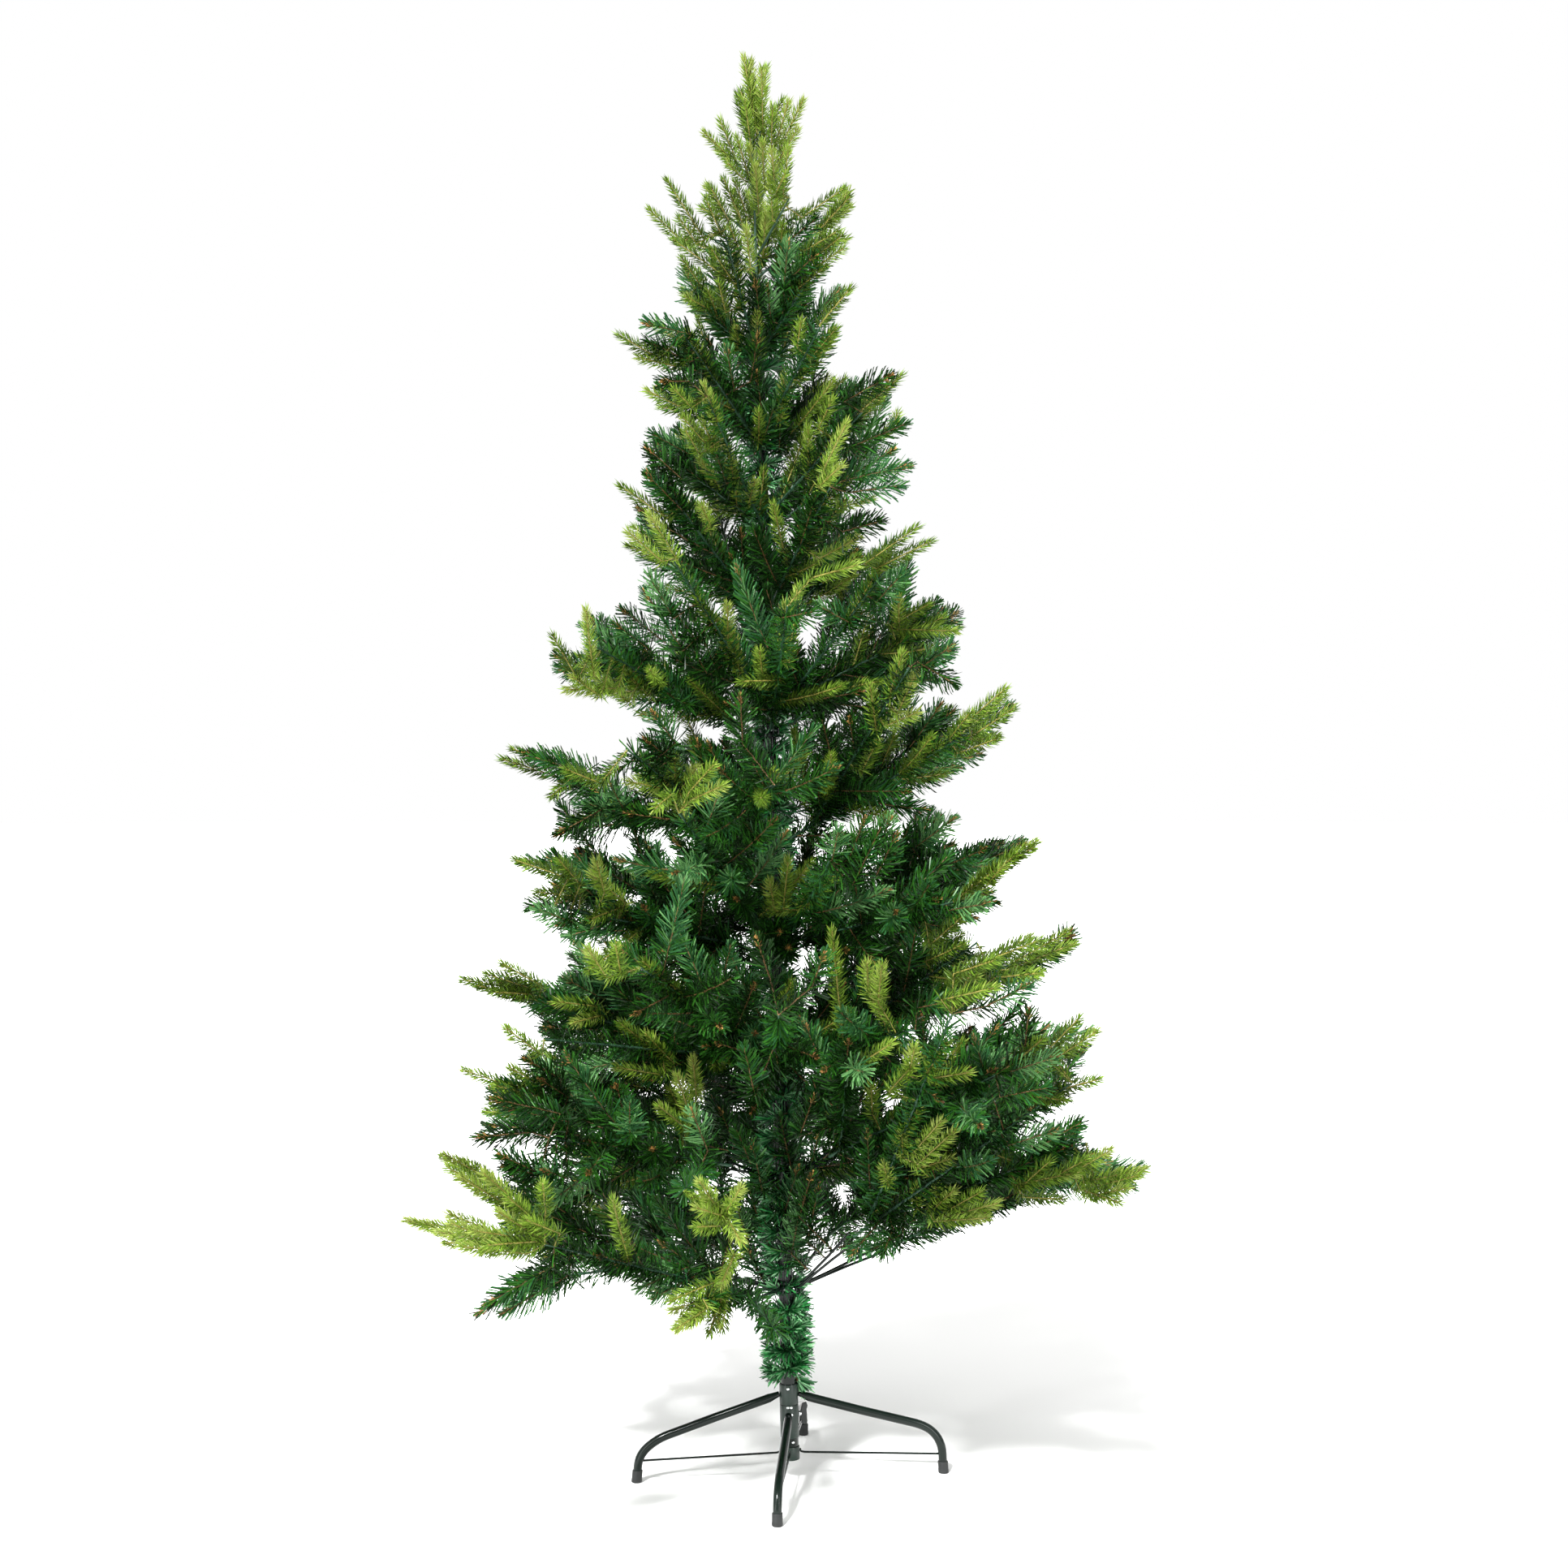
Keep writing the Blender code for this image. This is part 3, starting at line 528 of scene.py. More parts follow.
# %% Legs
# Size and flatness of the first rings, as shares of the round tube's
ROOT_SIZES = (0.72, 0.90)
ROOT_FLATS = (0.80, 0.90)
LEG_SIDES = 28

leg_points = {}
for name, (azimuth, root_height, knee_height) in LEGS.items():
    points = leg_line(azimuth, root_height, knee_height)
    leg_points[name] = points
    radii = [LEG_RADIUS * share for share in ROOT_SIZES] + [LEG_RADIUS] * (len(points) - 2)
    flats = list(ROOT_FLATS) + [1.0] * (len(points) - 2)
    form = bmesh.new()
    swept(form, points, radii, LEG_SIDES, flats)
    keep(add_piece(f"leg_{name}_tube", form, powder_coat), "green_powder_coat", f"leg_{name}")
print("legs", len(leg_points), "with", len(points), "rings each")

# %% [markdown]
# The caps are cups with a rounded foot and a rolled lip. They flare a little at the bottom, where
# the real ones carry a thicker sole. The braces are plain wire with a hooked end at the collar. A cap
# leans with its leg, so its rings are moved along the leg's line instead of being spun about an axis.

# %% Foot caps and braces
CAP_RADIUS = 0.0079
CAP_HEIGHT = 0.0175
CAP_LIP = LEG_RADIUS + GAP
CAP_SIDES = 32
# Radius and height of each ring, from the sole up to the rolled lip and down inside
CAP_PROFILE = (
    (CAP_RADIUS * 0.86, 0.0), (CAP_RADIUS, 0.0011), (CAP_RADIUS, 0.0045), (CAP_RADIUS * 0.965, 0.0060),
    (CAP_RADIUS * 0.965, CAP_HEIGHT - 0.0010), (CAP_RADIUS * 0.93, CAP_HEIGHT), (CAP_LIP, CAP_HEIGHT),
    (CAP_LIP, 0.0010),
)
BRACE_RADIUS = 0.0016
BRACE_SIDES = 10
BRACE_END_HEIGHT = 0.0290
# How deep a brace's end sits in the skin of its leg
BRACE_BITE = 0.0006
# The hook at the collar: its room to the collar, how far it leans back, and how high it stands
HOOK_ROOM = 0.0010
HOOK_BACK = 0.0004
HOOK_RISE = 0.0052

for name in FEET:
    points = leg_points[name]
    ahead = (points[-2] - points[-1]).normalized()
    lean = ahead / ahead.z
    centre = Vector((points[-1].x, points[-1].y, 0.0)) - lean * points[-1].z
    turns = turns_of(CAP_SIDES)
    rings = []
    for radius, height in CAP_PROFILE:
        middle = centre + lean * height
        middle.z = height
        rings.append([middle + Vector((math.cos(t), math.sin(t), 0.0)) * radius for t in turns])
    form = bmesh.new()
    add_rings(form, rings)
    keep(add_piece(f"foot_cap_{name}_moulding", form, cap_plastic), "cap_plastic", f"foot_cap_{name}")

    azimuth = LEGS[name][0]
    target = min(points, key=lambda p: abs(p.z - BRACE_END_HEIGHT))
    start = on_axis(sum(COLLARS["brace_collar"]) / 2) + outward(azimuth) * (COLLAR_OUTER + HOOK_ROOM)
    ahead = (target - start).normalized()
    end = target - ahead * (LEG_RADIUS - BRACE_BITE)
    hook = start - outward(azimuth) * HOOK_BACK + Vector((0, 0, HOOK_RISE))
    line = [
        hook, start + Vector((0, 0, 0.0030)), start + ahead * 0.0012 + Vector((0, 0, 0.0010)),
        start + ahead * 0.006, end,
    ]
    form = bmesh.new()
    swept(form, line, [BRACE_RADIUS] * len(line), BRACE_SIDES)
    keep(add_piece(f"brace_{name}_wire", form, powder_coat), "green_powder_coat", f"brace_{name}")
print(len(FEET), "foot caps and braces")

# %% [markdown]
# ## Wing screw
# The pole is clamped by a screw with a flat two-eared head of moulded plastic. The head's outline is
# drawn once as a handful of points, thickened, and its edges are rounded with a Bevel modifier.

# %% Wing screw
SCREW_AZIMUTH = 18.0
SCREW_HEIGHT = 0.0925
EAR_OUTLINE = (
    (0.0000, -0.0040), (0.0025, -0.0150), (0.0085, -0.0165), (0.0105, -0.0110), (0.0075, 0.0000),
    (0.0105, 0.0110), (0.0085, 0.0165), (0.0025, 0.0150), (0.0000, 0.0040),
)
HEAD_START = 0.0035
HEAD_HALF = 0.0016
HEAD_BEVEL = 0.0006
# Reach and radius of the shank's rings, from the collar out into the head
SHANK = ((0.0, 0.0045), (0.0015, 0.0045), (0.0016, 0.0029), (0.0040, 0.0029))
SHANK_SIDES = 16

screw_place = Matrix.Translation(on_axis(SCREW_HEIGHT) + outward(SCREW_AZIMUTH) * (COLLAR_OUTER + GAP))
screw_place = screw_place @ Matrix.Rotation(math.radians(SCREW_AZIMUTH), 4, "Z")
form = bmesh.new()
walls = []
for offset in (-HEAD_HALF, HEAD_HALF):
    corners = [Vector((HEAD_START + x, offset, z)) for x, z in EAR_OUTLINE]
    walls.append([form.verts.new(screw_place @ corner) for corner in corners])
form.faces.new(walls[0])
form.faces.new(walls[1][::-1])
for k in range(len(EAR_OUTLINE)):
    after = (k + 1) % len(EAR_OUTLINE)
    form.faces.new((walls[0][k], walls[1][k], walls[1][after], walls[0][after]))
screw = add_piece("wing_screw_head", form, cap_plastic)
rounding = screw.modifiers.new("rounding", "BEVEL")
rounding.width = HEAD_BEVEL
rounding.segments = 2
keep(screw, "cap_plastic", "wing_screw")
form = bmesh.new()
rod = [screw_place @ Vector((reach, 0, 0)) for reach, radius in SHANK]
swept(form, rod, [radius for reach, radius in SHANK], SHANK_SIDES)
keep(add_piece("wing_screw_shank", form, zinc_plate), "cap_plastic", "wing_screw")
print("wing screw at", [round(value, 3) for value in screw_place.translation])

# %% [markdown]
# ## The wires of the crown
# Rings of boughs hinge on the pole. Each bough fans out into three or four wires, and the top
# section carries fixed wires at four levels under a leader. The rule below is the one that the
# solids were grown by: the same names, seeds and order of random draws, so that every wire here ends
# where its solid ends.

# %% Rings, tiers and leader
SEED = 41
TIER_SEED = SEED + 100
LEADER_SEED = SEED + 200
# Name, height, reach, bare length, then azimuth and rise of each bough
RINGS = (
    ("low", 0.281, 0.572, 0.145, ((14, 18), (66, 16), (122, 13), (184, 11), (254, 8), (312, 33))),
    ("second", 0.444, 0.495, 0.120, ((14, 24), (86, 18), (160, 21), (232, 14), (304, 20))),
    ("third", 0.607, 0.475, 0.0, ((350, 24), (62, 18), (134, 17), (198, 14), (270, 16))),
    ("fourth", 0.771, 0.410, 0.0, ((12, 24), (105, 21), (190, 18), (280, 20))),
    ("fifth", 0.934, 0.405, 0.0, ((345, 29), (105, 24), (225, 14))),
    ("sixth", 1.098, 0.335, 0.0, ((50, 33), (170, 24), (290, 31))),
)
FANS = {3: ((0.0, 0.0), (-0.32, 7.0), (0.32, -6.0)), 4: ((-0.13, -4), (0.13, 5), (-0.38, 4), (0.38, -3))}
WIRES = {"low": 3, "second": 3, "third": 3, "fourth": 3, "fifth": 4, "sixth": 4}
FORK_START = 0.006
FORK_STEP = 0.022
TIER_AZIMUTHS = (30, 150, 270)
TIER_LEVELS = (
    (1.265, 34.0, 0.268, -9.0), (1.400, 34.0, 0.228, 9.0), (1.520, 33.0, 0.232, -5.0),
    (1.640, 44.0, 0.155, 11.0),
)
TIER_FAN = 29.0
TIER_STEP = 0.007
TIER_POLE = 0.0098
LEADER_LEVELS = ((1.765, 38.0, 0.170, 5), (1.870, 56.0, 0.095, 3))
LEADER_STEP = 0.014
LEADER_TURN = 0.12
LEADER_FORK = 1.930
LEADER_HEIGHT = 2.100
LEADER_SHOOTS = ((345.0, 0.94), (160.0, 0.86))
LEADER_SHOOT_RISE = 78.0


def wire_end(height, azimuth, rise, reach):
    """The end of a wire that leaves the pole at that height."""
    return on_axis(height) + outward(azimuth) * reach + Vector((0, 0, reach * math.tan(math.radians(rise))))


# %% [markdown]
# Each bough draws its own numbers: first the length and lift of its main wire, then where the others
# fork off. The wires are kept as plain start and end points, because tips and needles need only
# those, and the meshes are made from them later.

# %% Grow the wires
wires = []
bare_limbs = []
number = 0
for ring, height, reach, bare, boughs in RINGS:
    room = 360.0 / len(boughs)
    for azimuth, rise in boughs:
        number += 1
        chance = random.Random(SEED + number)
        if bare:
            name = f"bough_{ring}_{boughs.index((azimuth, rise)) + 1}"
            bare_limbs.append((name, height, azimuth, rise, bare))
        for n, (share, lift) in enumerate(FANS[WIRES[ring]]):
            far = reach if n == 0 else reach * chance.uniform(0.90, 1.0)
            turn = azimuth + share * room
            end = wire_end(height, turn, rise + lift + chance.uniform(-2, 2), far)
            if n:
                start = main + (main_end - main).normalized() * (FORK_START + FORK_STEP * n)
            elif bare:
                start = wire_end(height, azimuth, rise, bare)
            else:
                start = on_axis(height) + outward(turn) * HUB_RADIUS
            if n == 0:
                main, main_end = start, end
            wires.append((ring, start, end))
for k, azimuth in enumerate(TIER_AZIMUTHS):
    chance = random.Random(TIER_SEED + k)
    side = outward(azimuth) * TIER_POLE
    for height, rise, reach, shift in TIER_LEVELS[::-1]:
        for sign in (-1, 1):
            turn = azimuth + sign * TIER_FAN + shift
            far = reach * chance.uniform(0.93, 1.0)
            end = wire_end(height, turn, rise + chance.uniform(-3, 3), far)
            wires.append(("upper", on_axis(height + TIER_STEP * sign) + side, end))
chance = random.Random(LEADER_SEED)
wires.append(("top", on_axis(POLE_TOP), on_axis(LEADER_HEIGHT)))
for height, rise, reach, count in LEADER_LEVELS:
    for k in range(count):
        azimuth = 360.0 * (k * 2 % count + LEADER_TURN) / count
        end = wire_end(height, azimuth, rise, reach * chance.uniform(0.92, 1.0))
        wires.append(("top", on_axis(height + LEADER_STEP * k), end))
for k, (azimuth, share) in enumerate(LEADER_SHOOTS):
    start = on_axis(LEADER_FORK + LEADER_STEP * k)
    end = start + outward(azimuth, LEADER_SHOOT_RISE) * (LEADER_HEIGHT - start.z) * share
    wires.append(("top", start, end))
print(len(wires), "wires,", len(bare_limbs), "bare limbs")

# %% [markdown]
# ## Tips: where each one goes
# On the real tree every wire ends in a tip and has more tips tied to it on both sides, each bent
# forward. Two kinds are mixed: dark tips cut from PVC film, and fresh yellow-green tips moulded in
# polyethylene. The tips that show best in the photograph are listed, each by the pixels of its root
# and its end: bright ones in front, olive ones in shade or against the light, dark ones.
# Scattering all of them by chance would give a tree of this kind, but not this tree.

# %% Tips that show in the photograph, as root and end in its pixels
BRIGHT_SHOWN = (
    (933, 165, 915, 62), (940, 165, 938, 75), (927, 190, 916, 115), (908, 200, 884, 140),
    (900, 195, 862, 158), (955, 180, 974, 117), (960, 185, 993, 116), (958, 200, 987, 152),
    (912, 382, 908, 305), (911, 452, 907, 392), (934, 440, 933, 378), (884, 520, 864, 466),
    (962, 520, 967, 454), (935, 545, 935, 500), (1008, 528, 1029, 486), (1015, 578, 1047, 513),
    (996, 590, 996, 520), (1008, 600, 1043, 568), (880, 552, 862, 512), (862, 560, 841, 524),
    (886, 600, 858, 560), (904, 592, 896, 545), (908, 625, 906, 587), (922, 622, 932, 586),
    (876, 648, 862, 618), (835, 690, 795, 626), (816, 692, 768, 650), (1010, 688, 1066, 658),
    (1000, 712, 1064, 694), (972, 818, 984, 713), (962, 800, 968, 735), (880, 775, 854, 727),
    (897, 790, 896, 738), (731, 830, 721, 743), (775, 865, 712, 815), (790, 850, 745, 800),
    (800, 858, 757, 812), (740, 858, 700, 830), (905, 822, 878, 752), (912, 830, 898, 770),
    (1108, 775, 1107, 730), (1095, 860, 1114, 797), (1105, 880, 1133, 820), (1090, 895, 1138, 874),
    (1080, 900, 1071, 838), (825, 968, 783, 927), (832, 965, 831, 928), (850, 975, 884, 937),
    (820, 972, 766, 961), (838, 975, 845, 1012), (828, 978, 803, 1000), (852, 985, 898, 965),
    (845, 965, 861, 942), (965, 1120, 972, 1052), (985, 1118, 1010, 1074), (995, 1115, 1041, 1062),
    (955, 1122, 947, 1080), (770, 1112, 722, 1072), (765, 1118, 718, 1136), (745, 1100, 733, 1054),
    (735, 1240, 677, 1233), (745, 1250, 700, 1262), (748, 1205, 720, 1162), (765, 1200, 757, 1158),
    (830, 1310, 790, 1268), (850, 1375, 832, 1318), (845, 1390, 806, 1358), (858, 1350, 853, 1298),
    (840, 1372, 822, 1335), (1082, 1235, 1087, 1182), (1080, 1205, 1084, 1250), (1070, 1222, 1068, 1180),
    (1120, 1325, 1128, 1284), (1140, 1325, 1172, 1277), (1140, 1330, 1203, 1320),
    (1095, 1345, 1125, 1312), (1075, 1372, 1073, 1332), (1110, 1400, 1135, 1360),
    (1125, 1420, 1165, 1375), (1130, 1435, 1185, 1385), (1130, 1440, 1180, 1425),
    (1112, 1425, 1112, 1388), (1130, 1490, 1128, 1458), (1150, 1490, 1180, 1462),
    (1165, 1500, 1237, 1480), (1150, 1505, 1225, 1500), (1170, 1490, 1215, 1465),
    (1155, 1480, 1152, 1455), (1095, 1460, 1088, 1432), (640, 1485, 590, 1440), (600, 1460, 538, 1421),
    (600, 1445, 560, 1428), (672, 1490, 668, 1452), (655, 1500, 620, 1470), (590, 1530, 492, 1501),
    (660, 1530, 590, 1535), (640, 1525, 575, 1515), (600, 1530, 541, 1532), (690, 1520, 640, 1500),
    (885, 1490, 858, 1450), (893, 1495, 916, 1458), (890, 1510, 852, 1512), (895, 1500, 852, 1486),
    (895, 1500, 917, 1536), (905, 1545, 885, 1590), (880, 1590, 828, 1643), (880, 1580, 818, 1606),
    (890, 1585, 884, 1640), (872, 1600, 850, 1638), (1340, 1455, 1418, 1440), (1330, 1440, 1374, 1414),
    (1330, 1465, 1387, 1484), (1250, 1460, 1340, 1442), (950, 190, 952, 122), (935, 262, 930, 195),
    (952, 272, 948, 205), (940, 322, 944, 255), (925, 330, 918, 272), (610, 1530, 548, 1504),
    (650, 1545, 560, 1535), (872, 1612, 826, 1642), (762, 848, 688, 850), (925, 225, 905, 160),
    (936, 238, 920, 172), (942, 238, 939, 166), (956, 242, 950, 176), (965, 240, 972, 175),
    (1340, 1475, 1395, 1462), (1350, 1462, 1412, 1446), (875, 1598, 820, 1618), (885, 1600, 835, 1634),
    (600, 1518, 502, 1505), (640, 1536, 530, 1516), (600, 1514, 546, 1493), (650, 1516, 608, 1489),
    (620, 1482, 560, 1446), (610, 1456, 541, 1419),
)
OLIVE_SHOWN = (
    (955, 240, 970, 208), (898, 272, 871, 222), (866, 292, 817, 214), (843, 300, 794, 252),
    (858, 300, 832, 262), (988, 268, 1046, 228), (1008, 285, 1053, 236), (1003, 318, 1044, 285),
    (894, 385, 884, 342), (884, 388, 870, 352), (982, 430, 988, 388), (1000, 440, 1036, 398),
    (862, 350, 836, 312), (812, 442, 755, 408), (835, 452, 778, 438), (836, 500, 790, 478),
    (852, 502, 826, 474), (1062, 505, 1117, 457), (822, 638, 756, 593), (1065, 695, 1138, 644),
    (1080, 700, 1155, 663), (712, 838, 677, 776), (962, 838, 905, 840), (940, 835, 935, 795),
    (1105, 775, 1186, 778), (1098, 770, 1150, 741), (1085, 945, 1105, 900), (1062, 950, 1085, 905),
    (1182, 898, 1245, 843), (1196, 908, 1256, 868), (1180, 928, 1237, 907), (1170, 910, 1200, 872),
    (700, 948, 624, 920), (690, 958, 611, 933), (712, 952, 674, 986), (740, 965, 690, 945),
    (700, 1082, 627, 1057), (715, 1090, 684, 1054), (715, 1105, 654, 1098), (1205, 1085, 1284, 1032),
    (1212, 1095, 1240, 1062), (648, 1220, 562, 1206), (668, 1215, 612, 1184), (655, 1225, 600, 1222),
    (668, 1300, 617, 1262), (648, 1345, 564, 1316), (672, 1340, 622, 1312), (650, 1362, 596, 1357),
    (815, 1300, 758, 1256), (820, 1325, 752, 1314), (1145, 1165, 1198, 1119), (1140, 1185, 1195, 1160),
    (1245, 1188, 1321, 1145), (1240, 1195, 1331, 1160), (1215, 1185, 1276, 1150),
    (1225, 1205, 1290, 1198), (1175, 1200, 1235, 1180), (1285, 1300, 1335, 1249),
    (1300, 1305, 1358, 1266), (1295, 1345, 1362, 1328), (1270, 1350, 1320, 1357),
    (1250, 1310, 1290, 1275), (1255, 1465, 1300, 1425), (1260, 1475, 1318, 1478),
    (1290, 1455, 1345, 1425), (920, 225, 892, 196), (912, 310, 896, 272), (900, 345, 822, 290),
    (1000, 332, 1046, 302), (1010, 400, 1054, 348), (868, 545, 836, 508), (610, 1475, 545, 1434),
    (960, 335, 965, 268), (915, 276, 888, 212), (922, 270, 903, 216), (890, 292, 866, 236),
    (876, 382, 838, 362), (975, 362, 1025, 322), (990, 310, 1040, 280), (985, 470, 1034, 406),
    (1200, 1190, 1290, 1155), (1160, 1232, 1235, 1215), (885, 1606, 872, 1650), (896, 1600, 888, 1646),
    (660, 1232, 580, 1212), (655, 1218, 592, 1198), (905, 350, 872, 300), (674, 1354, 604, 1336),
    (1200, 1092, 1262, 1046), (1214, 1080, 1280, 1040),
)
DARK_SHOWN = (
    (852, 412, 788, 397), (850, 470, 811, 470), (850, 560, 797, 531), (840, 590, 792, 547),
    (1040, 495, 1104, 459), (1045, 552, 1124, 519), (1040, 592, 1128, 572), (1045, 607, 1119, 597),
    (1038, 655, 1093, 640), (1135, 822, 1179, 792), (1130, 815, 1182, 846), (745, 995, 680, 1032),
    (1125, 1046, 1181, 1005), (1215, 1240, 1274, 1210), (1262, 1300, 1268, 1238),
    (1270, 1420, 1340, 1378), (655, 1395, 580, 1402), (850, 1560, 778, 1592), (860, 1570, 800, 1602),
    (1080, 1510, 1045, 1550), (1100, 1515, 1085, 1552), (940, 545, 960, 480), (960, 560, 962, 505),
    (925, 470, 935, 405), (950, 1560, 940, 1482), (965, 1500, 985, 1432), (940, 1470, 925, 1402),
    (975, 1440, 960, 1372), (950, 1400, 975, 1332), (930, 1350, 915, 1282), (960, 1320, 950, 1262),
    (1020, 1400, 1040, 1342), (975, 1545, 990, 1470), (925, 1540, 905, 1478), (950, 1210, 930, 1150),
    (700, 1556, 582, 1622), (700, 1572, 612, 1622), (965, 302, 1012, 264), (965, 362, 972, 290),
    (940, 318, 1030, 300), (905, 482, 893, 420), (895, 596, 876, 540), (830, 762, 796, 702),
    (860, 792, 815, 730), (880, 818, 850, 750), (872, 832, 838, 770), (1050, 1092, 1090, 1010),
    (1078, 1082, 1108, 1022), (1045, 1062, 1068, 1002), (705, 1136, 656, 1118), (1000, 1216, 1018, 1170),
    (985, 1400, 1005, 1345), (872, 1418, 850, 1362), (905, 1410, 885, 1362), (928, 1442, 905, 1385),
    (665, 1446, 610, 1420), (700, 1452, 664, 1440), (995, 1530, 1010, 1455), (985, 1500, 1002, 1440),
    (1000, 1432, 1010, 1392), (850, 446, 790, 416), (936, 392, 930, 340), (950, 396, 945, 346),
    (970, 346, 1010, 310), (1080, 742, 1116, 702), (820, 792, 760, 746), (842, 802, 790, 722),
    (802, 802, 752, 764), (962, 762, 1008, 752), (1048, 768, 1004, 744), (915, 916, 912, 850),
    (832, 916, 800, 872), (826, 936, 790, 906), (1052, 922, 1046, 880), (740, 960, 650, 930),
    (722, 950, 640, 926), (1025, 1062, 1034, 1018), (1168, 1122, 1222, 1112), (1130, 1242, 1190, 1230),
    (1240, 1412, 1308, 1390), (1240, 1322, 1308, 1300), (1232, 1352, 1300, 1338),
    (1112, 1520, 1066, 1544), (945, 1586, 916, 1532), (940, 1522, 922, 1460), (682, 1560, 592, 1611),
    (700, 1352, 660, 1326), (692, 1330, 642, 1302), (690, 1372, 600, 1352), (690, 1360, 612, 1330),
    (700, 1394, 592, 1386), (700, 1382, 616, 1364), (715, 1400, 652, 1380), (682, 1452, 614, 1436),
    (1092, 1072, 1124, 1012), (1076, 1060, 1100, 1002),
)
print(len(BRIGHT_SHOWN), "bright tips,", len(OLIVE_SHOWN), "olive,", len(DARK_SHOWN), "dark ones listed")

# %% [markdown]
# Between the boughs the white backdrop shows through in places. Each place is noted as a middle and a
# radius. The twigs behind it would close it again by chance, so none may show there.

# %% Gaps of sky
# Middle and radius of each place where the white backdrop shows through
SKY_GAPS = (
    (1014, 792, 20), (849, 788, 5), (835, 900, 5), (882, 901, 6), (1028, 890, 6), (962, 925, 5),
    (882, 285, 6), (978, 1000, 9), (1014, 1014, 5), (1047, 1017, 6), (768, 1040, 6), (809, 1023, 5),
    (849, 1035, 6), (915, 1146, 7), (983, 1142, 8), (987, 1188, 4), (989, 1238, 8), (994, 1318, 5),
    (737, 1160, 4), (752, 1290, 4), (661, 1411, 18), (860, 1443, 14), (880, 1458, 12), (1036, 1468, 9),
    (1046, 1490, 11), (1054, 1512, 8), (1012, 1520, 9), (1003, 1542, 14), (1116, 1270, 7),
    (1150, 1264, 7), (1180, 1257, 8), (1208, 1253, 8), (1236, 1246, 7),
)
print(len(SKY_GAPS), "gaps of sky")


def hides_sky(points, margin):
    """Whether one of the points shows in a gap, or within the margin of it."""
    for point in points:
        x, y = pixel(point)
        if any(math.hypot(x - gap_x, y - gap_y) < radius + margin for gap_x, gap_y, radius in SKY_GAPS):
            return True
    return False


# %% [markdown]
# The crown's outline has long tips with notches between them. It is read from the photograph as one
# ring of corners, clockwise from the leader. A tip that would stick out of it is made shorter.

# %% The crown's outline in the photograph's pixels
OUTLINE_RIGHT = (
    (920, 55), (929, 76), (938, 66), (950, 72), (954, 105), (1000, 110), (1002, 160), (980, 200),
    (972, 240), (985, 256), (1036, 222), (1056, 230), (1052, 302), (1036, 332), (1000, 350), (1004, 362),
    (1040, 346), (1058, 350), (1046, 400), (1024, 430), (1026, 455), (1060, 466), (1124, 456),
    (1098, 495), (1130, 520), (1104, 548), (1130, 572), (1120, 606), (1076, 620), (1062, 650),
    (1066, 682), (1110, 652), (1142, 640), (1158, 668), (1134, 700), (1118, 732), (1182, 740),
    (1194, 782), (1166, 818), (1160, 850), (1170, 870), (1190, 876), (1215, 862), (1252, 838),
    (1256, 880), (1226, 925), (1170, 960), (1122, 985), (1188, 1003), (1182, 1024), (1286, 1028),
    (1252, 1070), (1238, 1100), (1236, 1120), (1206, 1130), (1196, 1150), (1190, 1168), (1232, 1172),
    (1250, 1150), (1300, 1138), (1332, 1138), (1338, 1170), (1290, 1205), (1262, 1222), (1268, 1254),
    (1310, 1262), (1358, 1254), (1348, 1290), (1328, 1305), (1368, 1323), (1340, 1346), (1300, 1366),
    (1262, 1380), (1260, 1390), (1310, 1381), (1334, 1384), (1345, 1412), (1426, 1438), (1400, 1488),
    (1300, 1492), (1245, 1488), (1235, 1500), (1175, 1512), (1112, 1524), (1100, 1534), (1050, 1552),
    (1022, 1545), (1006, 1576),
)
OUTLINE_LEFT = (
    (930, 1574), (898, 1584), (896, 1640), (870, 1658), (812, 1648), (792, 1594), (772, 1576),
    (742, 1560), (715, 1560), (690, 1588), (640, 1614), (570, 1632), (582, 1600), (672, 1556),
    (655, 1548), (530, 1548), (484, 1506), (500, 1486), (545, 1486), (598, 1510), (606, 1482),
    (578, 1462), (530, 1425), (536, 1406), (575, 1398), (590, 1372), (604, 1346), (558, 1325),
    (566, 1308), (602, 1326), (626, 1324), (634, 1298), (655, 1285), (658, 1246), (610, 1240),
    (558, 1214), (562, 1188), (612, 1176), (640, 1200), (686, 1206), (698, 1186), (684, 1160),
    (668, 1140), (642, 1120), (648, 1092), (670, 1082), (620, 1062), (628, 1048), (710, 1040),
    (676, 1025), (698, 1002), (662, 985), (656, 965), (604, 947), (610, 912), (680, 920), (740, 942),
    (786, 948), (794, 900), (776, 868), (688, 858), (682, 840), (670, 778), (684, 774), (702, 802),
    (712, 790), (706, 746), (718, 738), (738, 752), (752, 745), (772, 720), (785, 698), (760, 662),
    (780, 635), (750, 598), (796, 582), (796, 545), (828, 530), (804, 500), (782, 478), (816, 466),
    (842, 456), (768, 440), (748, 408), (775, 394), (840, 384), (828, 358), (840, 338), (812, 300),
    (786, 255), (797, 247), (834, 272), (812, 226), (808, 208), (822, 206), (850, 256), (864, 250),
    (862, 216), (874, 212), (890, 230), (900, 222), (880, 196), (856, 182), (853, 156), (876, 136),
    (904, 116), (914, 98), (906, 60),
)
OUTLINE = OUTLINE_RIGHT + OUTLINE_LEFT
print(len(OUTLINE), "corners in the outline")


def inside(x, y):
    """Whether a pixel lies inside the outline, by counting the edges that a level ray crosses."""
    crossings = 0
    for (ax, ay), (bx, by) in zip(OUTLINE, OUTLINE[1:] + OUTLINE[:1]):
        if (ay > y) != (by > y) and x < ax + (y - ay) / (by - ay) * (bx - ax):
            crossings += 1
    return crossings % 2 == 1


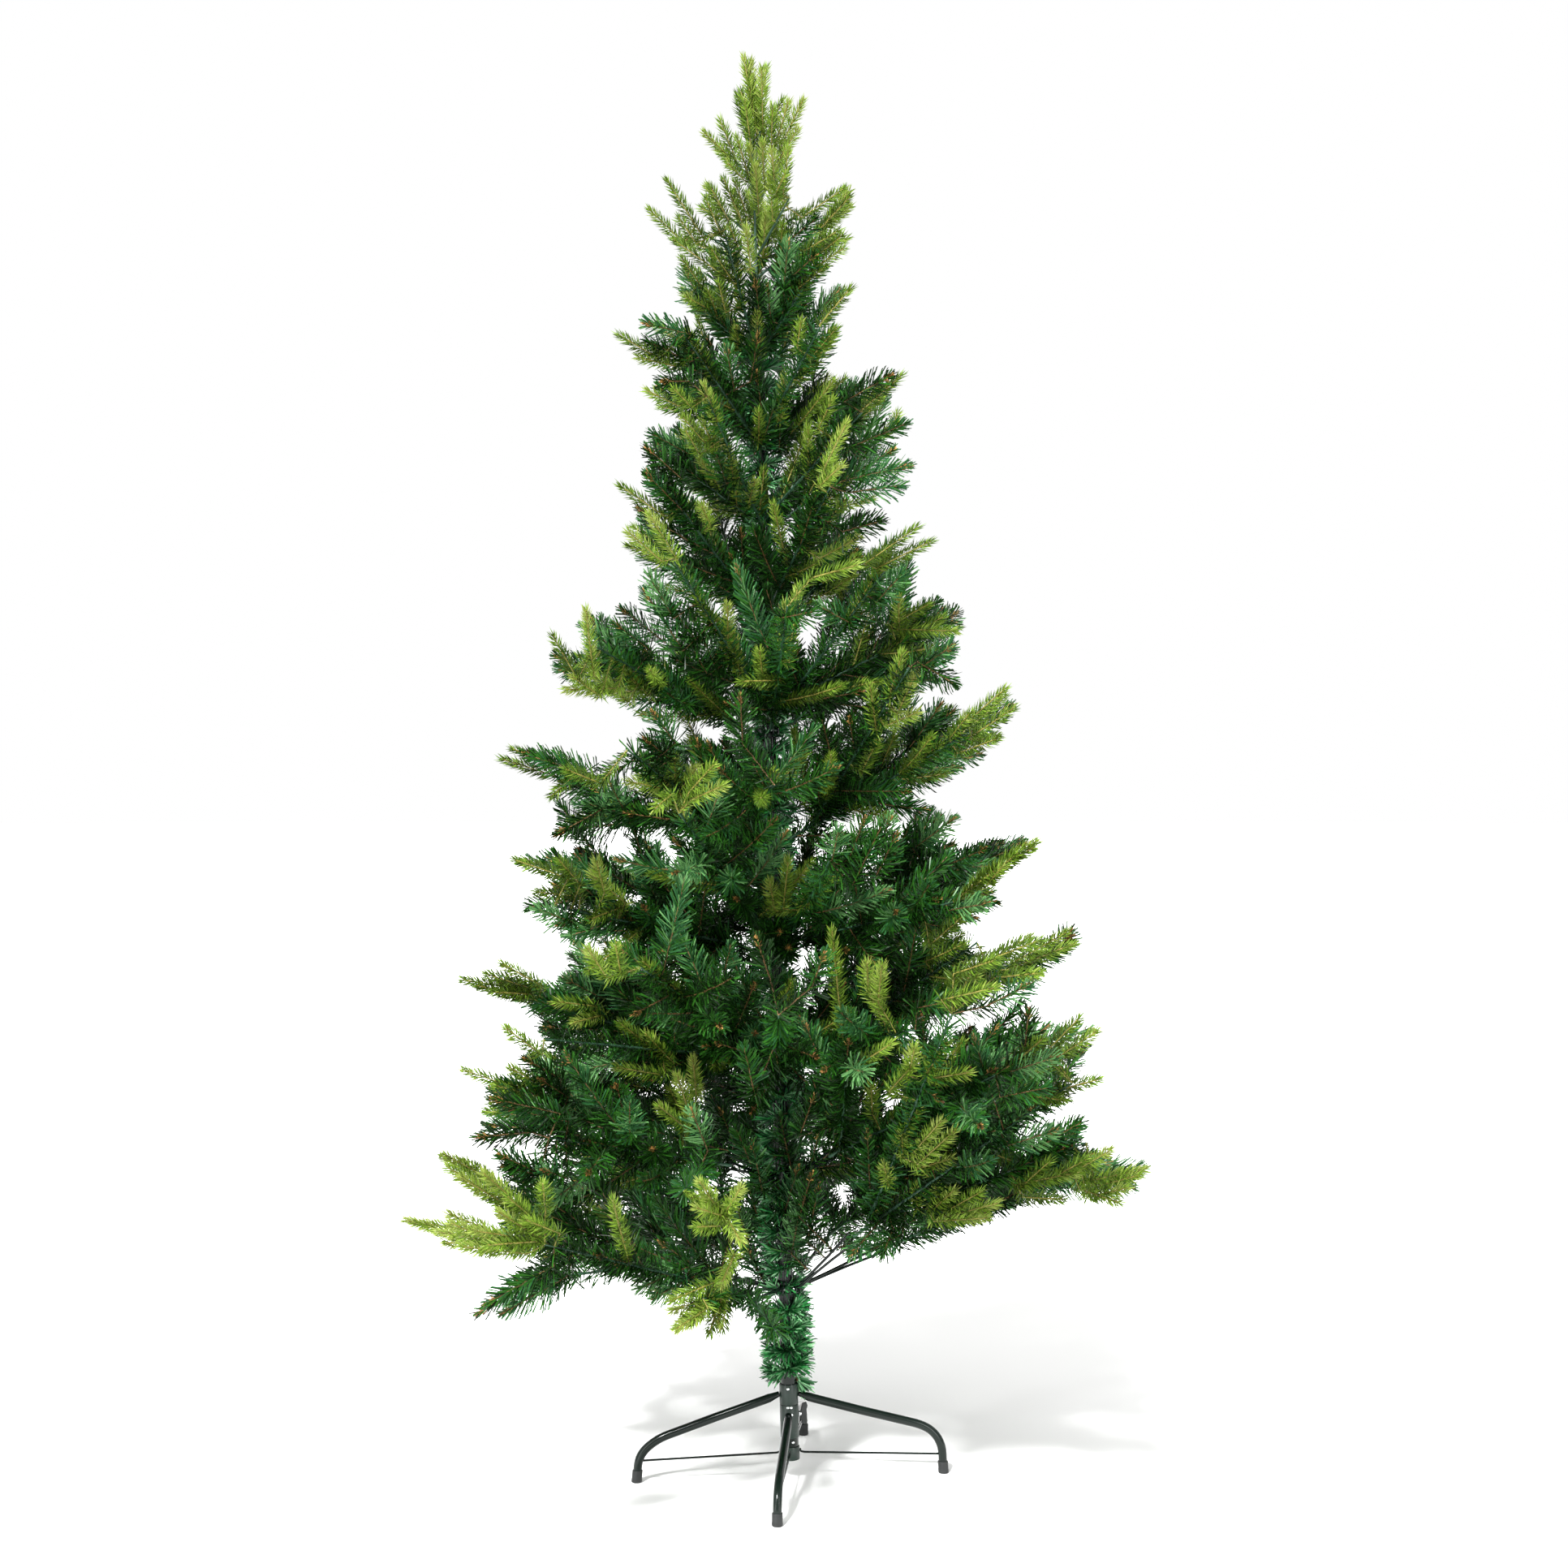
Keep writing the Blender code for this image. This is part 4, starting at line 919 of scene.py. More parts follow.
def shows_inside(points, margins):
    """Whether the points stay inside the outline, each by its own margin in pixels."""
    for point, margin in zip(points, margins):
        x, y = pixel(point)
        for dx, dy in ((margin, 0), (-margin, 0), (0, margin), (0, -margin)):
            if not inside(x + dx, y + dy):
                return False
    return True


# %% [markdown]
# A listed tip grows from the wire that shows near its root and stands well forward. Its root and end
# lie on the lines of sight through their pixels, and the end comes forward as far as the tip's full
# length needs, because tips that look short point at the camera.

# %% Set the listed tips
# The length that a listed tip would show from the side
SHOWN_LENGTH = 0.115
# How far the last needles reach past the end of a shoot
END_NEEDLE = 0.011
# The most that a listed tip's end comes forward of its root
MOST_FORWARD = 0.05
# How near and how far a tip may reach along Y
FRONT_LIMIT = -0.57
BACK_LIMIT = 0.565
# Places tried on each wire, and the first that is far enough from the pole
WIRE_STEPS = 24
FIRST_STEP = 3
# Depth in metres that a root must win for each pixel that it shows aside
DEPTH_A_PIXEL = 0.0075
# What a stem costs that would cross the open sky
OPEN_COST = 0.4
# The one limb that shows bare in the photograph, at the lower right
OPEN_LIMB = "bough_low_1"
# Numbers of the fresh finishes that the listed tips are dealt; the olive ones are painted shade, for
# tips in shade or against the light
BRIGHT_SHADES = (1, 2, 2)
OLIVE_AS_SHADE = (0, 0, 1)

tips = []
chance = random.Random(SEED)


def spot(x, y, depth):
    """The point that shows at a pixel and lies that deep along +Y."""
    away = depth - camera.location.y
    across = (x - FRAME_PX / 2) * away / FOCAL_PX
    down = (y - FRAME_PX / 2) * away / FOCAL_PX
    return Vector((camera.location.x + across, depth, camera.location.z - down))


stretches = list(wires)
for name, height, azimuth, rise, bare in bare_limbs:
    if name != OPEN_LIMB:
        stretches.append((name.split("_")[1], on_axis(height), wire_end(height, azimuth, rise, bare)))
sites = []
for number, (region, start, end) in enumerate(stretches):
    for k in range(FIRST_STEP, WIRE_STEPS + 1):
        site = start.lerp(end, k / WIRE_STEPS)
        sites.append((number, k / WIRE_STEPS, region, site, *pixel(site)))


def place_for(x0, y0):
    """The best place on a wire for a root that shows at a pixel; a stem across open sky costs more."""

    def cost(place):
        _, _, _, site, x, y = place
        return site.y + DEPTH_A_PIXEL * math.hypot(x - x0, y - y0)

    ranked = sorted(sites, key=cost)
    covered = (place for place in ranked if inside((place[4] + x0) / 2, (place[5] + y0) / 2))
    best = next(covered, ranked[0])
    return (best if cost(best) < cost(ranked[0]) + OPEN_COST else ranked[0])[:4]


# How far along each wire the furthest listed tip sits
carried_to = [0.0] * len(stretches)
for shown, shade in ((BRIGHT_SHOWN, BRIGHT_SHADES), (OLIVE_SHOWN, OLIVE_AS_SHADE), (DARK_SHOWN, None)):
    for x0, y0, x1, y1 in shown:
        number, share, region, site = place_for(x0, y0)
        carried_to[number] = max(carried_to[number], share)
        flat = math.hypot(x1 - x0, y1 - y0) * (site.y - camera.location.y) / FOCAL_PX
        forward = min(MOST_FORWARD, math.sqrt(max(0.0, SHOWN_LENGTH**2 - flat**2)))
        root, end = spot(x0, y0, site.y), spot(x1, y1, max(site.y - forward, FRONT_LIMIT))
        length = (end - root).length
        whole = 1.0 - END_NEEDLE / length
        line = [site] + [root.lerp(end, whole * t) for t in (0, 0.25, 0.5, 0.75, 1)]
        tip = {"region": region, "line": line, "length": length, "share": 1.0, "listed": True}
        tip["shade"] = None if shade is None else chance.choice(shade)
        tips.append(tip)
print(len(tips), "listed tips set on", len(stretches), "wires")

# %% [markdown]
# All other tips are set by a rule. A tip has room when it keeps off the pole and the free space under
# the crown, stays inside the outline, leaves the gaps open and doesn't stand before a listed tip. It
# is tried at four lengths, so that a short twig can still fill a narrow place.

# %% Which tips have room
# Room to a gap of sky, and to a listed tip behind; the cells serve only to find tips fast
GAP_MARGIN_PX = 9
# Room to the outline at four places along a tip, which is thickest in its middle
EDGE_MARGINS_PX = (18, 16, 11, 6)
TOP_MARGINS_PX = (8, 8, 7, 6)
COVER_PX = 20
CELL_PX = 40
# Nearest that a tip may come to the pole's axis
POLE_ROOM = 0.016
# Lowest height of a tip near the pole and further out, and the reach that parts the two
LOWEST_INNER = 0.285
LOWEST_OUTER = 0.235
INNER_REACH = 0.17
# Shares of its full length at which a tip is tried
SHORTER = (1.0, 0.86, 0.72, 0.58)

shown_in = {}
for tip in tips:
    for point in tip["line"][1:]:
        x, y = pixel(point)
        shown_in.setdefault((x // CELL_PX, y // CELL_PX), []).append((x, y, point.y))
print("listed tips show in", len(shown_in), "cells of the picture")


def covers_shown(points):
    """Whether one of the points stands before a listed tip."""
    for point in points:
        x, y = pixel(point)
        for column in (-1, 0, 1):
            for row in (-1, 0, 1):
                cell = (x // CELL_PX + column, y // CELL_PX + row)
                for shown_x, shown_y, depth in shown_in.get(cell, ()):
                    if point.y < depth and math.hypot(x - shown_x, y - shown_y) < COVER_PX:
                        return True
    return False


def tip_line(root, direction, length, curve):
    """Six points along a tip that bends up a little."""
    steps = (0, 0.2, 0.4, 0.6, 0.8, 1)
    return [root + direction * length * t + Vector((0, 0, curve * length * t * t)) for t in steps]


def has_room(region, line):
    """Whether a tip keeps off the pole, the space under the crown, the gaps and the outline."""
    for point in line[1:]:
        reach = (point - on_axis(point.z)).length
        if point.z < (LOWEST_INNER if reach < INNER_REACH else LOWEST_OUTER):
            return False
        if reach < POLE_ROOM and region != "top":
            return False
        if not FRONT_LIMIT < point.y < BACK_LIMIT:
            return False
    margins = TOP_MARGINS_PX if region == "top" else EDGE_MARGINS_PX
    if not shows_inside(line[2:], margins) or hides_sky(line[1:], GAP_MARGIN_PX):
        return False
    return not covers_shown(line[2:])


def deal_tip(region, share, root, direction, length, curve):
    """Add a tip that leaves its wire at a share of its run, as long as there is room for."""
    for part in SHORTER:
        line = tip_line(root, direction, length * part, curve)
        if has_room(region, line):
            tip = {"region": region, "line": line, "length": length * part, "share": share, "shade": None}
            tips.append(tip)
            return True
    return False


# %% [markdown]
# The rule walks each wire from its root to its end, as the factory ties the tips on: a side tip every
# few centimetres, turned to another side each time, and the tip of the wire itself. The boughs were
# fluffed up by hand, so tips bend up, more so higher on the tree. One seeded generator draws all.

# %% Deal the tips
# Longest tips of each region
TIP_LENGTH = {
    "low": 0.185, "second": 0.180, "third": 0.175, "fourth": 0.170, "fifth": 0.165, "sixth": 0.155,
    "upper": 0.135, "top": 0.125,
}
# Distance from one side tip to the next, and how unevenly it is drawn
SIDE_STEP = {"top": 0.017}
USUAL_STEP = 0.0225
STEP_SPREAD = (0.75, 1.25)
FIRST_PLACE = 0.018
FIRST_SPREAD = (0.6, 1.4)
# The turns round the wire that side tips take one after the other, and how far off they may be
SIDE_TURNS = (5, 180, 92, -38, 215, 55, 128)
TURN_SPREAD = (-24, 24)
# Degrees between a side tip and its wire
SIDE_TILT = {"top": (16, 34), "upper": (26, 52)}
USUAL_TILT = (34, 60)
# Lengths of side tips as shares of the region's, and the most of the room ahead that they use
SIDE_SHARES = (0.78, 1.0)
ROOM_SHARE = 0.97
# How far tips are fluffed up, as a share of their length
FLUFF = {
    "low": 0.12, "second": 0.18, "third": 0.22, "fourth": 0.28, "fifth": 0.38, "sixth": 0.50,
    "upper": 0.60, "top": 0.35,
}
TIP_CURVE = (0.02, 0.16)
# How far the ends of side tips may reach beyond their wire
PAST_END = 0.02
PAST_LIMB = 0.15
# Shares of a wire at which its own tip is tried
WIRE_CUTS = (1.0, 0.95, 0.9, 0.84, 0.78, 0.7)


def fluffed(region, direction, share=1.0):
    """A direction bent up; less where it points aside, as in the photograph."""
    lift = FLUFF[region] * share * (1.0 - 0.7 * abs(direction.x))
    return (direction + Vector((0, 0, lift))).normalized()


def side_tips(region, start, ahead, run, size, reach):
    """Set side tips along a wire; reach is how far beyond its run they may point."""
    place = FIRST_PLACE * chance.uniform(*FIRST_SPREAD)
    turn = chance.randrange(len(SIDE_TURNS))
    while place < min(run, run + reach - 0.35 * size):
        roll = math.radians(SIDE_TURNS[turn % len(SIDE_TURNS)] + chance.uniform(*TURN_SPREAD))
        tilt = math.radians(chance.uniform(*SIDE_TILT.get(region, USUAL_TILT)))
        across, _ = side_frame(ahead, roll)
        direction = fluffed(region, ahead * math.cos(tilt) + across * math.sin(tilt))
        ahead_room = (run + reach - place) / math.cos(tilt)
        length = min(size * chance.uniform(*SIDE_SHARES), ahead_room * ROOM_SHARE)
        share = place / (run + reach)
        deal_tip(region, share, start + ahead * place, direction, length, chance.uniform(*TIP_CURVE))
        place += SIDE_STEP.get(region, USUAL_STEP) * chance.uniform(*STEP_SPREAD)
        turn += 1


grown_wires = []
for number, (region, start, end) in enumerate(wires):
    whole = (end - start).length
    ahead = (end - start) / whole
    size = min(TIP_LENGTH[region] * chance.uniform(0.92, 1.02), whole * 0.9)
    for cut in WIRE_CUTS:
        run = whole * cut
        tail = start + ahead * (run - size)
        if deal_tip(region, 1.0, tail, fluffed(region, ahead, 0.4), size * 0.99, 0.0):
            break
    side_tips(region, start, ahead, run, size, 0.0 if region == "top" else PAST_END)
    # A wire ends where its own tip takes over, or further out at its furthest listed tip
    grown = max(run - size * 0.5, carried_to[number] * whole)
    grown_wires.append((region, start, start + ahead * grown))
on_wires = len(tips)
for name, height, azimuth, rise, bare in bare_limbs:
    if name != OPEN_LIMB:
        region = name.split("_")[1]
        start = on_axis(height)
        limb = wire_end(height, azimuth, rise, bare) - start
        side_tips(region, start, limb.normalized(), limb.length, TIP_LENGTH[region], PAST_LIMB)
print(on_wires, "tips on wires,", len(tips) - on_wires, "on limbs")

# %% [markdown]
# Of the tips that the rule has set, those of the leader are fresh. On the far side most wire ends
# are, and on the near side a few, drawn by chance and more of them higher up, get the olive finishes
# as painted shade.

# %% Choose the other fresh tips
# Odds of a fresh tip on the far side, at a wire's end and beside it
FRESH_END = 0.85
FRESH_SIDE = 0.36
OUTER_HALF = 0.5
# Weights of the fresh finishes that such tips are dealt
FRESH_WEIGHTS = (3, 4, 3)
# The far side starts this far behind the axis, and further back towards the sides
BEHIND_START = 0.04
BEHIND_SLOPE = 0.6
# Odds of an olive tip on the near side, whose olive finish is painted shade
OLIVE_ODDS = {"fifth": 0.26, "sixth": 0.36, "upper": 0.42}
FEW_OLIVE = 0.11

for tip in tips:
    if "listed" in tip:
        continue
    middle = tip["line"][3]
    aside = abs(middle.x - on_axis(middle.z).x)
    behind = middle.y - AXIS_FOOT.y > BEHIND_START + BEHIND_SLOPE * aside
    odds = FRESH_END if tip["share"] == 1.0 else FRESH_SIDE
    if tip["region"] == "top" or (behind and tip["share"] > OUTER_HALF and chance.random() < odds):
        tip["shade"] = chance.choices(range(len(FRESH_WEIGHTS)), FRESH_WEIGHTS)[0]
    elif not behind and chance.random() < OLIVE_ODDS.get(tip["region"], FEW_OLIVE):
        tip["shade"] = chance.choice(OLIVE_AS_SHADE)
print(sum(tip["shade"] is not None for tip in tips), "fresh tips")

# %% [markdown]
# ## Shoots: the lines that needles stand on
# Each tip is one shoot: a chain of points, and each point carries the numbers that its needles need:
# their length, how far they lean off the shoot, and their shade.


# %% Shoot lines
class Lines:
    """Chains of points with numbers on them, for one kind of needle in one region."""

    def __init__(self):
        self.points = []
        self.edges = []
        self.aims = []
        self.values = {"needle": [], "lean": [], "shade": [], "thick": []}

    def add(self, chain, needle, lean, shade, thick):
        """Add a chain; each number is one for the whole chain or one for each point."""
        first = len(self.points)
        self.points += [tuple(point) for point in chain]
        self.edges += [(first + k, first + k + 1) for k in range(len(chain) - 1)]
        for name, numbers in (("needle", needle), ("lean", lean), ("shade", shade), ("thick", thick)):
            single = not isinstance(numbers, (list, tuple))
            self.values[name] += [numbers] * len(chain) if single else list(numbers)

    def length(self):
        """The length of all the chains together."""
        return sum((Vector(self.points[a]) - Vector(self.points[b])).length for a, b in self.edges)


REGIONS = list(TIP_LENGTH)
dark_lines = {region: Lines() for region in REGIONS}
fresh_lines = {region: Lines() for region in REGIONS}
bud_lines = {region: Lines() for region in REGIONS}
wire_lines = {region: Lines() for region in REGIONS}

# Share of the dark tips that end in a bud, and the bud's length along the shoot
BUD_SHARE = 0.65
BUD_SPAN = 0.016
# Length and lean of the needles at the six points of a tip, as shares and in degrees
DARK_NEEDLE = (0.60, 0.92, 1.0, 0.94, 0.78, 0.42)
DARK_LEAN = (70, 62, 56, 50, 42, 24)
FRESH_NEEDLE = (0.25, 0.95, 1.0, 1.0, 0.95, 0.72)
FRESH_LEAN = (62, 58, 54, 51, 45, 27)
# Fresh needles are shorter on the upper boughs
FRESH_SIZE = {"top": 0.88, "upper": 0.88, "sixth": 0.92, "fifth": 0.96}
# Steps between a fresh tip's own shade and those of its six points, from root to end: the darker
# root is painted shade, the lighter end the moulded tip's own paler colour
FRESH_STEPS = (-1, 0, 0, 0, 1, 1)
# Weights of the four dark finishes, on the inner part of a wire and further out: painted shade and
# light, with deep most common inside and pale, a painted gleam, dealt only further out
INNER_PART = 0.35
INNER_SHADES = (6, 4, 1, 0)
OUTER_SHADES = (3, 4, 3, 2)
# Needles on the wires themselves: where they stand, their length and lean, and their thin core
WIRE_PART = (0.06, 0.5, 0.95)
WIRE_NEEDLE = 0.85
WIRE_LEAN = 60
WIRE_CORE = 0.1

chance = random.Random(SEED + 1)
for tip in tips:
    region, line = tip["region"], tip["line"]
    if tip["shade"] is not None:
        shades = [max(0, tip["shade"] + step) for step in FRESH_STEPS]
        needles = [share * FRESH_SIZE.get(region, 1.0) for share in FRESH_NEEDLE]
        fresh_lines[region].add(line, needles, FRESH_LEAN, shades, 1.0)
        continue
    weights = INNER_SHADES if tip["share"] < INNER_PART else OUTER_SHADES
    shade = chance.choices(range(4), weights)[0]
    # The first two points of a dark tip take the deep finish: painted shade at its root, where the tips
    # crowd.
    dark_lines[region].add(line, DARK_NEEDLE, DARK_LEAN, (0, 0, shade, shade, shade, shade), 1.0)
    if chance.random() < BUD_SHARE:
        ahead = (line[5] - line[4]).normalized()
        bud = [line[5] - ahead * BUD_SPAN * 0.8, line[5] + ahead * BUD_SPAN * 0.2]
        bud_lines[region].add(bud, (1.0, 0.7), (50, 22), chance.randrange(2), 1.0)
for region, start, end in grown_wires:
    chain = [start, start.lerp(end, 0.5), end]
    wire_lines[region].add(chain, 0, 0, 0, (1.0, 0.8, 0.5))
    if region != "top":
        part = [start.lerp(end, t) for t in WIRE_PART]
        # The needles on the wires take only the deep or the green finish: painted shade in the crown's core.
        dark_lines[region].add(part, WIRE_NEEDLE, WIRE_LEAN, chance.randrange(2), WIRE_CORE)
for label, lines in (("dark", dark_lines), ("fresh", fresh_lines), ("bud", bud_lines)):
    print(label, "shoots measure", round(sum(item.length() for item in lines.values()), 1), "m")

# %% [markdown]
# ## Films and mouldings
# Dark needles are strips cut from green PVC film: a satin sheet that gleams pale along its bends.
# Fresh needles are moulded polyethylene, softer and more waxy. Each shade is its own plain finish,
# dealt out by shoot, because the needles are too small for a pattern that has a place.

# %% Finishes of the needles
# Of these, deep is painted shade and pale a painted gleam of the satin film: the rules below give deep
# mostly to the inner tips, the roots of tips and the wire needles, and pale only to outer tips. Green and
# bluish are the film's own tones.
dark_finishes = [
    make_finish(f"pvc_film_{name}", tones, 30, 0.34, IOR=1.53, Specular_IOR_Level=0.11)
    for name, tones in (
        ("deep", ("#081F03", "#0B2405")), ("green", ("#1F4710", "#235116")),
        ("bluish", ("#1F4624", "#234F29")), ("pale", ("#48723E", "#557F4C")),
    )
]
fresh_finishes = [
    make_finish(f"moulded_needles_{name}", tones, 30, 0.45, IOR=1.51, Specular_IOR_Level=0.16)
    for name, tones in (
        ("olive", ("#34480D", "#3D5211")), ("green", ("#4D681B", "#557220")),
        ("fresh", ("#6A8628", "#738F2F")), ("tip", ("#7B8B3C", "#869446")),
    )
]
# Brown film at the ends of the dark tips, cut short like a bud
bud_finishes = [
    make_finish(f"brown_film_{name}", tones, 20, 0.5)
    for name, tones in (("tan", ("#B08A4E", "#A67C40")), ("brown", ("#7C5A34", "#8A6438")))
]
# Twisted steel wire in brown paint, between the needles
twig_paint = make_finish("brown_wire_paint", ("#5C4526", "#6B4F2C"), 8, 0.6)
# Moulded polyethylene stem of the fresh tips, yellower than their needles
stem_moulding = make_finish("moulded_stem", ("#7A7030", "#86803A"), 8, 0.5, IOR=1.51)
# Green film wound round the bough wires
bough_wrap = make_finish("green_wire_wrap", ("#1D3A28", "#264A33"), 12, 0.6)
# Thin green PVC film of the garland, glossier than the needles; its four tones are dealt at random,
# with deep as painted shade and pale as a painted gleam
tinsel_finishes = [
    make_finish(f"tinsel_film_{name}", tones, 20, 0.3, IOR=1.55)
    for name, tones in (
        ("deep", ("#092910", "#0C3415")), ("green", ("#154D23", "#1A5729")),
        ("bright", ("#277537", "#328342")), ("pale", ("#639A68", "#74A777")),
    )
]
print(len(dark_finishes), "dark,", len(fresh_finishes), "fresh and", len(tinsel_finishes), "tinsel finishes")

# %% [markdown]
# ## Geometry Nodes: needles along shoots
# Thousands of needles that follow lines are what Geometry Nodes do well. The tree turns the bare
# chains into curves, resamples them at the needles' spacing, turns each needle by a fixed angle
# from the last one, leans it forward, and scales it by the numbers that travel along the chain.
# The instances are realized at the end and get their finish by the shade stored on the shoot.

# %% Steps that the trees share
def new_tree(name, labels):
    """An empty tree with the named inputs, and the outlets of its input node."""
    tree = bpy.data.node_groups.new(name, "GeometryNodeTree")
    tree.interface.new_socket("Geometry", in_out="INPUT", socket_type="NodeSocketGeometry")
    for label, kind in labels.items():
        tree.interface.new_socket(label, in_out="INPUT", socket_type=f"NodeSocket{kind}")
    tree.interface.new_socket("Geometry", in_out="OUTPUT", socket_type="NodeSocketGeometry")
    return tree, node(tree, "NodeGroupInput").outputs


def carried(tree, label, kind="FLOAT"):
    """What the points carry under a name."""
    reader = node(tree, "GeometryNodeInputNamedAttribute", {"Name": label}, data_type=kind)
    return reader.outputs["Attribute"]


def math_of(tree, operation, first, second):
    """The outlet of a Math node with two inputs."""
    return node(tree, "ShaderNodeMath", {0: first, 1: second}, operation=operation).outputs[0]


def drawn(tree, given, low, high, shift):
    """A number drawn anew at each point; the shift tells the draws of one tree apart."""
    seed = math_of(tree, "ADD", given["Seed"], float(shift))
    made = node(tree, "FunctionNodeRandomValue", {2: low, 3: high, "Seed": seed}, data_type="FLOAT")
    return made.outputs[1]


def turned_by(tree, rotation, angles):
    """A rotation turned further about its own axes."""
    by = node(tree, "FunctionNodeEulerToRotation", {"Euler": angles}).outputs["Rotation"]
    inputs = {"Rotation": rotation, "Rotate By": by}
    return node(tree, "FunctionNodeRotateRotation", inputs, rotation_space="LOCAL").outputs["Rotation"]


def even_spots(tree, given):
    """The outlets of a node that sets points at even steps along every chain."""
    curve = node(tree, "GeometryNodeMeshToCurve", {"Mesh": given["Geometry"]}).outputs["Curve"]
    inputs = {"Curve": curve, "Length": given["Spacing"]}
    even = node(tree, "GeometryNodeResampleCurve", inputs, mode="LENGTH").outputs["Curve"]
    return node(tree, "GeometryNodeCurveToPoints", {"Curve": even}, mode="EVALUATED").outputs


def stand_on(tree, given, points, rotation, length, shade, finishes):
    """Stand the form on the points, realize the copies, and finish each by its shade."""
    inputs = {"Geometry": points, "Name": "shade", "Value": shade}
    points = node(tree, "GeometryNodeStoreNamedAttribute", inputs, data_type="FLOAT").outputs["Geometry"]
    form = node(tree, "GeometryNodeObjectInfo", {"Object": given["Form"]}).outputs["Geometry"]
    scale = node(tree, "ShaderNodeCombineXYZ", {"X": length, "Y": 1.0, "Z": length}).outputs["Vector"]
    inputs = {"Points": points, "Instance": form, "Rotation": rotation, "Scale": scale}
    placed = node(tree, "GeometryNodeInstanceOnPoints", inputs).outputs["Instances"]
    made = node(tree, "GeometryNodeRealizeInstances", {"Geometry": placed}).outputs["Geometry"]
    for number, finish in enumerate(finishes):
        inputs = {"A": carried(tree, "shade"), "B": float(number), "Epsilon": 0.501}
        same = node(tree, "FunctionNodeCompare", inputs, data_type="FLOAT", operation="EQUAL")
        inputs = {"Geometry": made, "Selection": same.outputs["Result"], "Material": finish}
        made = node(tree, "GeometryNodeSetMaterial", inputs).outputs["Geometry"]
    node(tree, "NodeGroupOutput", {"Geometry": made})


# %% [markdown]
# The needle tree reads three numbers from every point of a shoot: the needle's length, its lean off
# the shoot and its shade. Each needle turns by the golden angle from the last one, as leaves on a
# stem do, so that no rows show, and small random strays keep it from looking combed.

# %% The needle tree
GOLDEN_TURN = math.radians(137.5)
STRAY = 0.95


def needle_tree(name, finishes):
    """A Geometry Nodes tree that sets needles along every chain of points."""
    labels = {"Form": "Object", "Spacing": "Float", "Length": "Float", "Scatter": "Float", "Seed": "Int"}
    tree, given = new_tree(name, labels)
    spots = even_spots(tree, given)
    shade = math_of(tree, "ADD", carried(tree, "shade"), drawn(tree, given, -STRAY, STRAY, 5))
    shade = math_of(tree, "MINIMUM", math_of(tree, "MAXIMUM", shade, 0.0), len(finishes) - 1.0)
    index = node(tree, "GeometryNodeInputIndex").outputs["Index"]
    scatter = math_of(tree, "MULTIPLY", drawn(tree, given, -1.0, 1.0, 1), given["Scatter"])
    around = math_of(tree, "ADD", math_of(tree, "MULTIPLY", index, GOLDEN_TURN), scatter)
    lean = math_of(tree, "MULTIPLY", carried(tree, "lean"), math.radians(1.0))
    lean = math_of(tree, "MULTIPLY", lean, drawn(tree, given, 0.82, 1.15, 2))
    leaning = node(tree, "ShaderNodeCombineXYZ", {"Y": lean, "Z": around}).outputs["Vector"]
    twist = node(tree, "ShaderNodeCombineXYZ", {"Z": drawn(tree, given, -1.3, 1.3, 3)}).outputs["Vector"]
    rotation = turned_by(tree, turned_by(tree, spots["Rotation"], leaning), twist)
    length = math_of(tree, "MULTIPLY", carried(tree, "needle"), given["Length"])
    length = math_of(tree, "MULTIPLY", length, drawn(tree, given, 0.8, 1.08, 4))
    stand_on(tree, given, spots["Points"], rotation, length, shade, finishes)
    return tree


# %% [markdown]
# A tube along a line is a second, shorter tree: the chain becomes a curve, and a small circle is
# carried along it, scaled by the thickness stored on the points. It makes the twisted wires and the
# moulded stems that the needles grow from.


# %% The tube tree
def tube_tree(name, finish):
    """A Geometry Nodes tree that sweeps a small circle along every chain of points."""
    tree, given = new_tree(name, {"Radius": "Float", "Sides": "Int"})
    curve = node(tree, "GeometryNodeMeshToCurve", {"Mesh": given["Geometry"]}).outputs["Curve"]
    inputs = {"Resolution": given["Sides"], "Radius": given["Radius"]}
    circle = node(tree, "GeometryNodeCurvePrimitiveCircle", inputs).outputs["Curve"]
    inputs = {"Curve": curve, "Profile Curve": circle, "Scale": carried(tree, "thick"), "Fill Caps": True}
    tube = node(tree, "GeometryNodeCurveToMesh", inputs).outputs["Mesh"]
    whole = node(tree, "GeometryNodeRealizeInstances", {"Geometry": tube}).outputs["Geometry"]
    inputs = {"Geometry": whole, "Material": finish}
    made = node(tree, "GeometryNodeSetMaterial", inputs).outputs["Geometry"]
    node(tree, "NodeGroupOutput", {"Geometry": made})
    return tree


def grow(name, lines, tree, **values):
    """Run a tree of nodes on chains of points, and keep the result as a plain mesh."""
    mesh = bpy.data.meshes.new(name)
    mesh.from_pydata(lines.points, lines.edges, [])
    for label, numbers in lines.values.items():
        mesh.attributes.new(label, "FLOAT", "POINT").data.foreach_set("value", [float(n) for n in numbers])
    if lines.aims:
        flat = [component for aim in lines.aims for component in aim]
        mesh.attributes.new("aim", "FLOAT_VECTOR", "POINT").data.foreach_set("vector", flat)
    piece = add_object(name, mesh)
    step = piece.modifiers.new("grow", "NODES")
    step.node_group = tree
    for socket in tree.interface.items_tree:
        if socket.in_out == "INPUT" and socket.name in values:
            step[socket.identifier] = values[socket.name]
    bpy.context.view_layer.update()
    made = bpy.data.meshes.new_from_object(piece.evaluated_get(bpy.context.evaluated_depsgraph_get()))
    piece.modifiers.remove(step)
    piece.data = made
    made.name = name
    bpy.data.meshes.remove(mesh)
    for label in [a.name for a in made.attributes if a.name in lines.values or a.name == "aim"]:
        made.attributes.remove(made.attributes[label])
    return piece


# %% [markdown]
# A needle is drawn once, one unit long. The film strip is a flat blade with a pointed end. The
# moulded needle is a kite folded along its middle, so that it has a ridge and shows from every side.


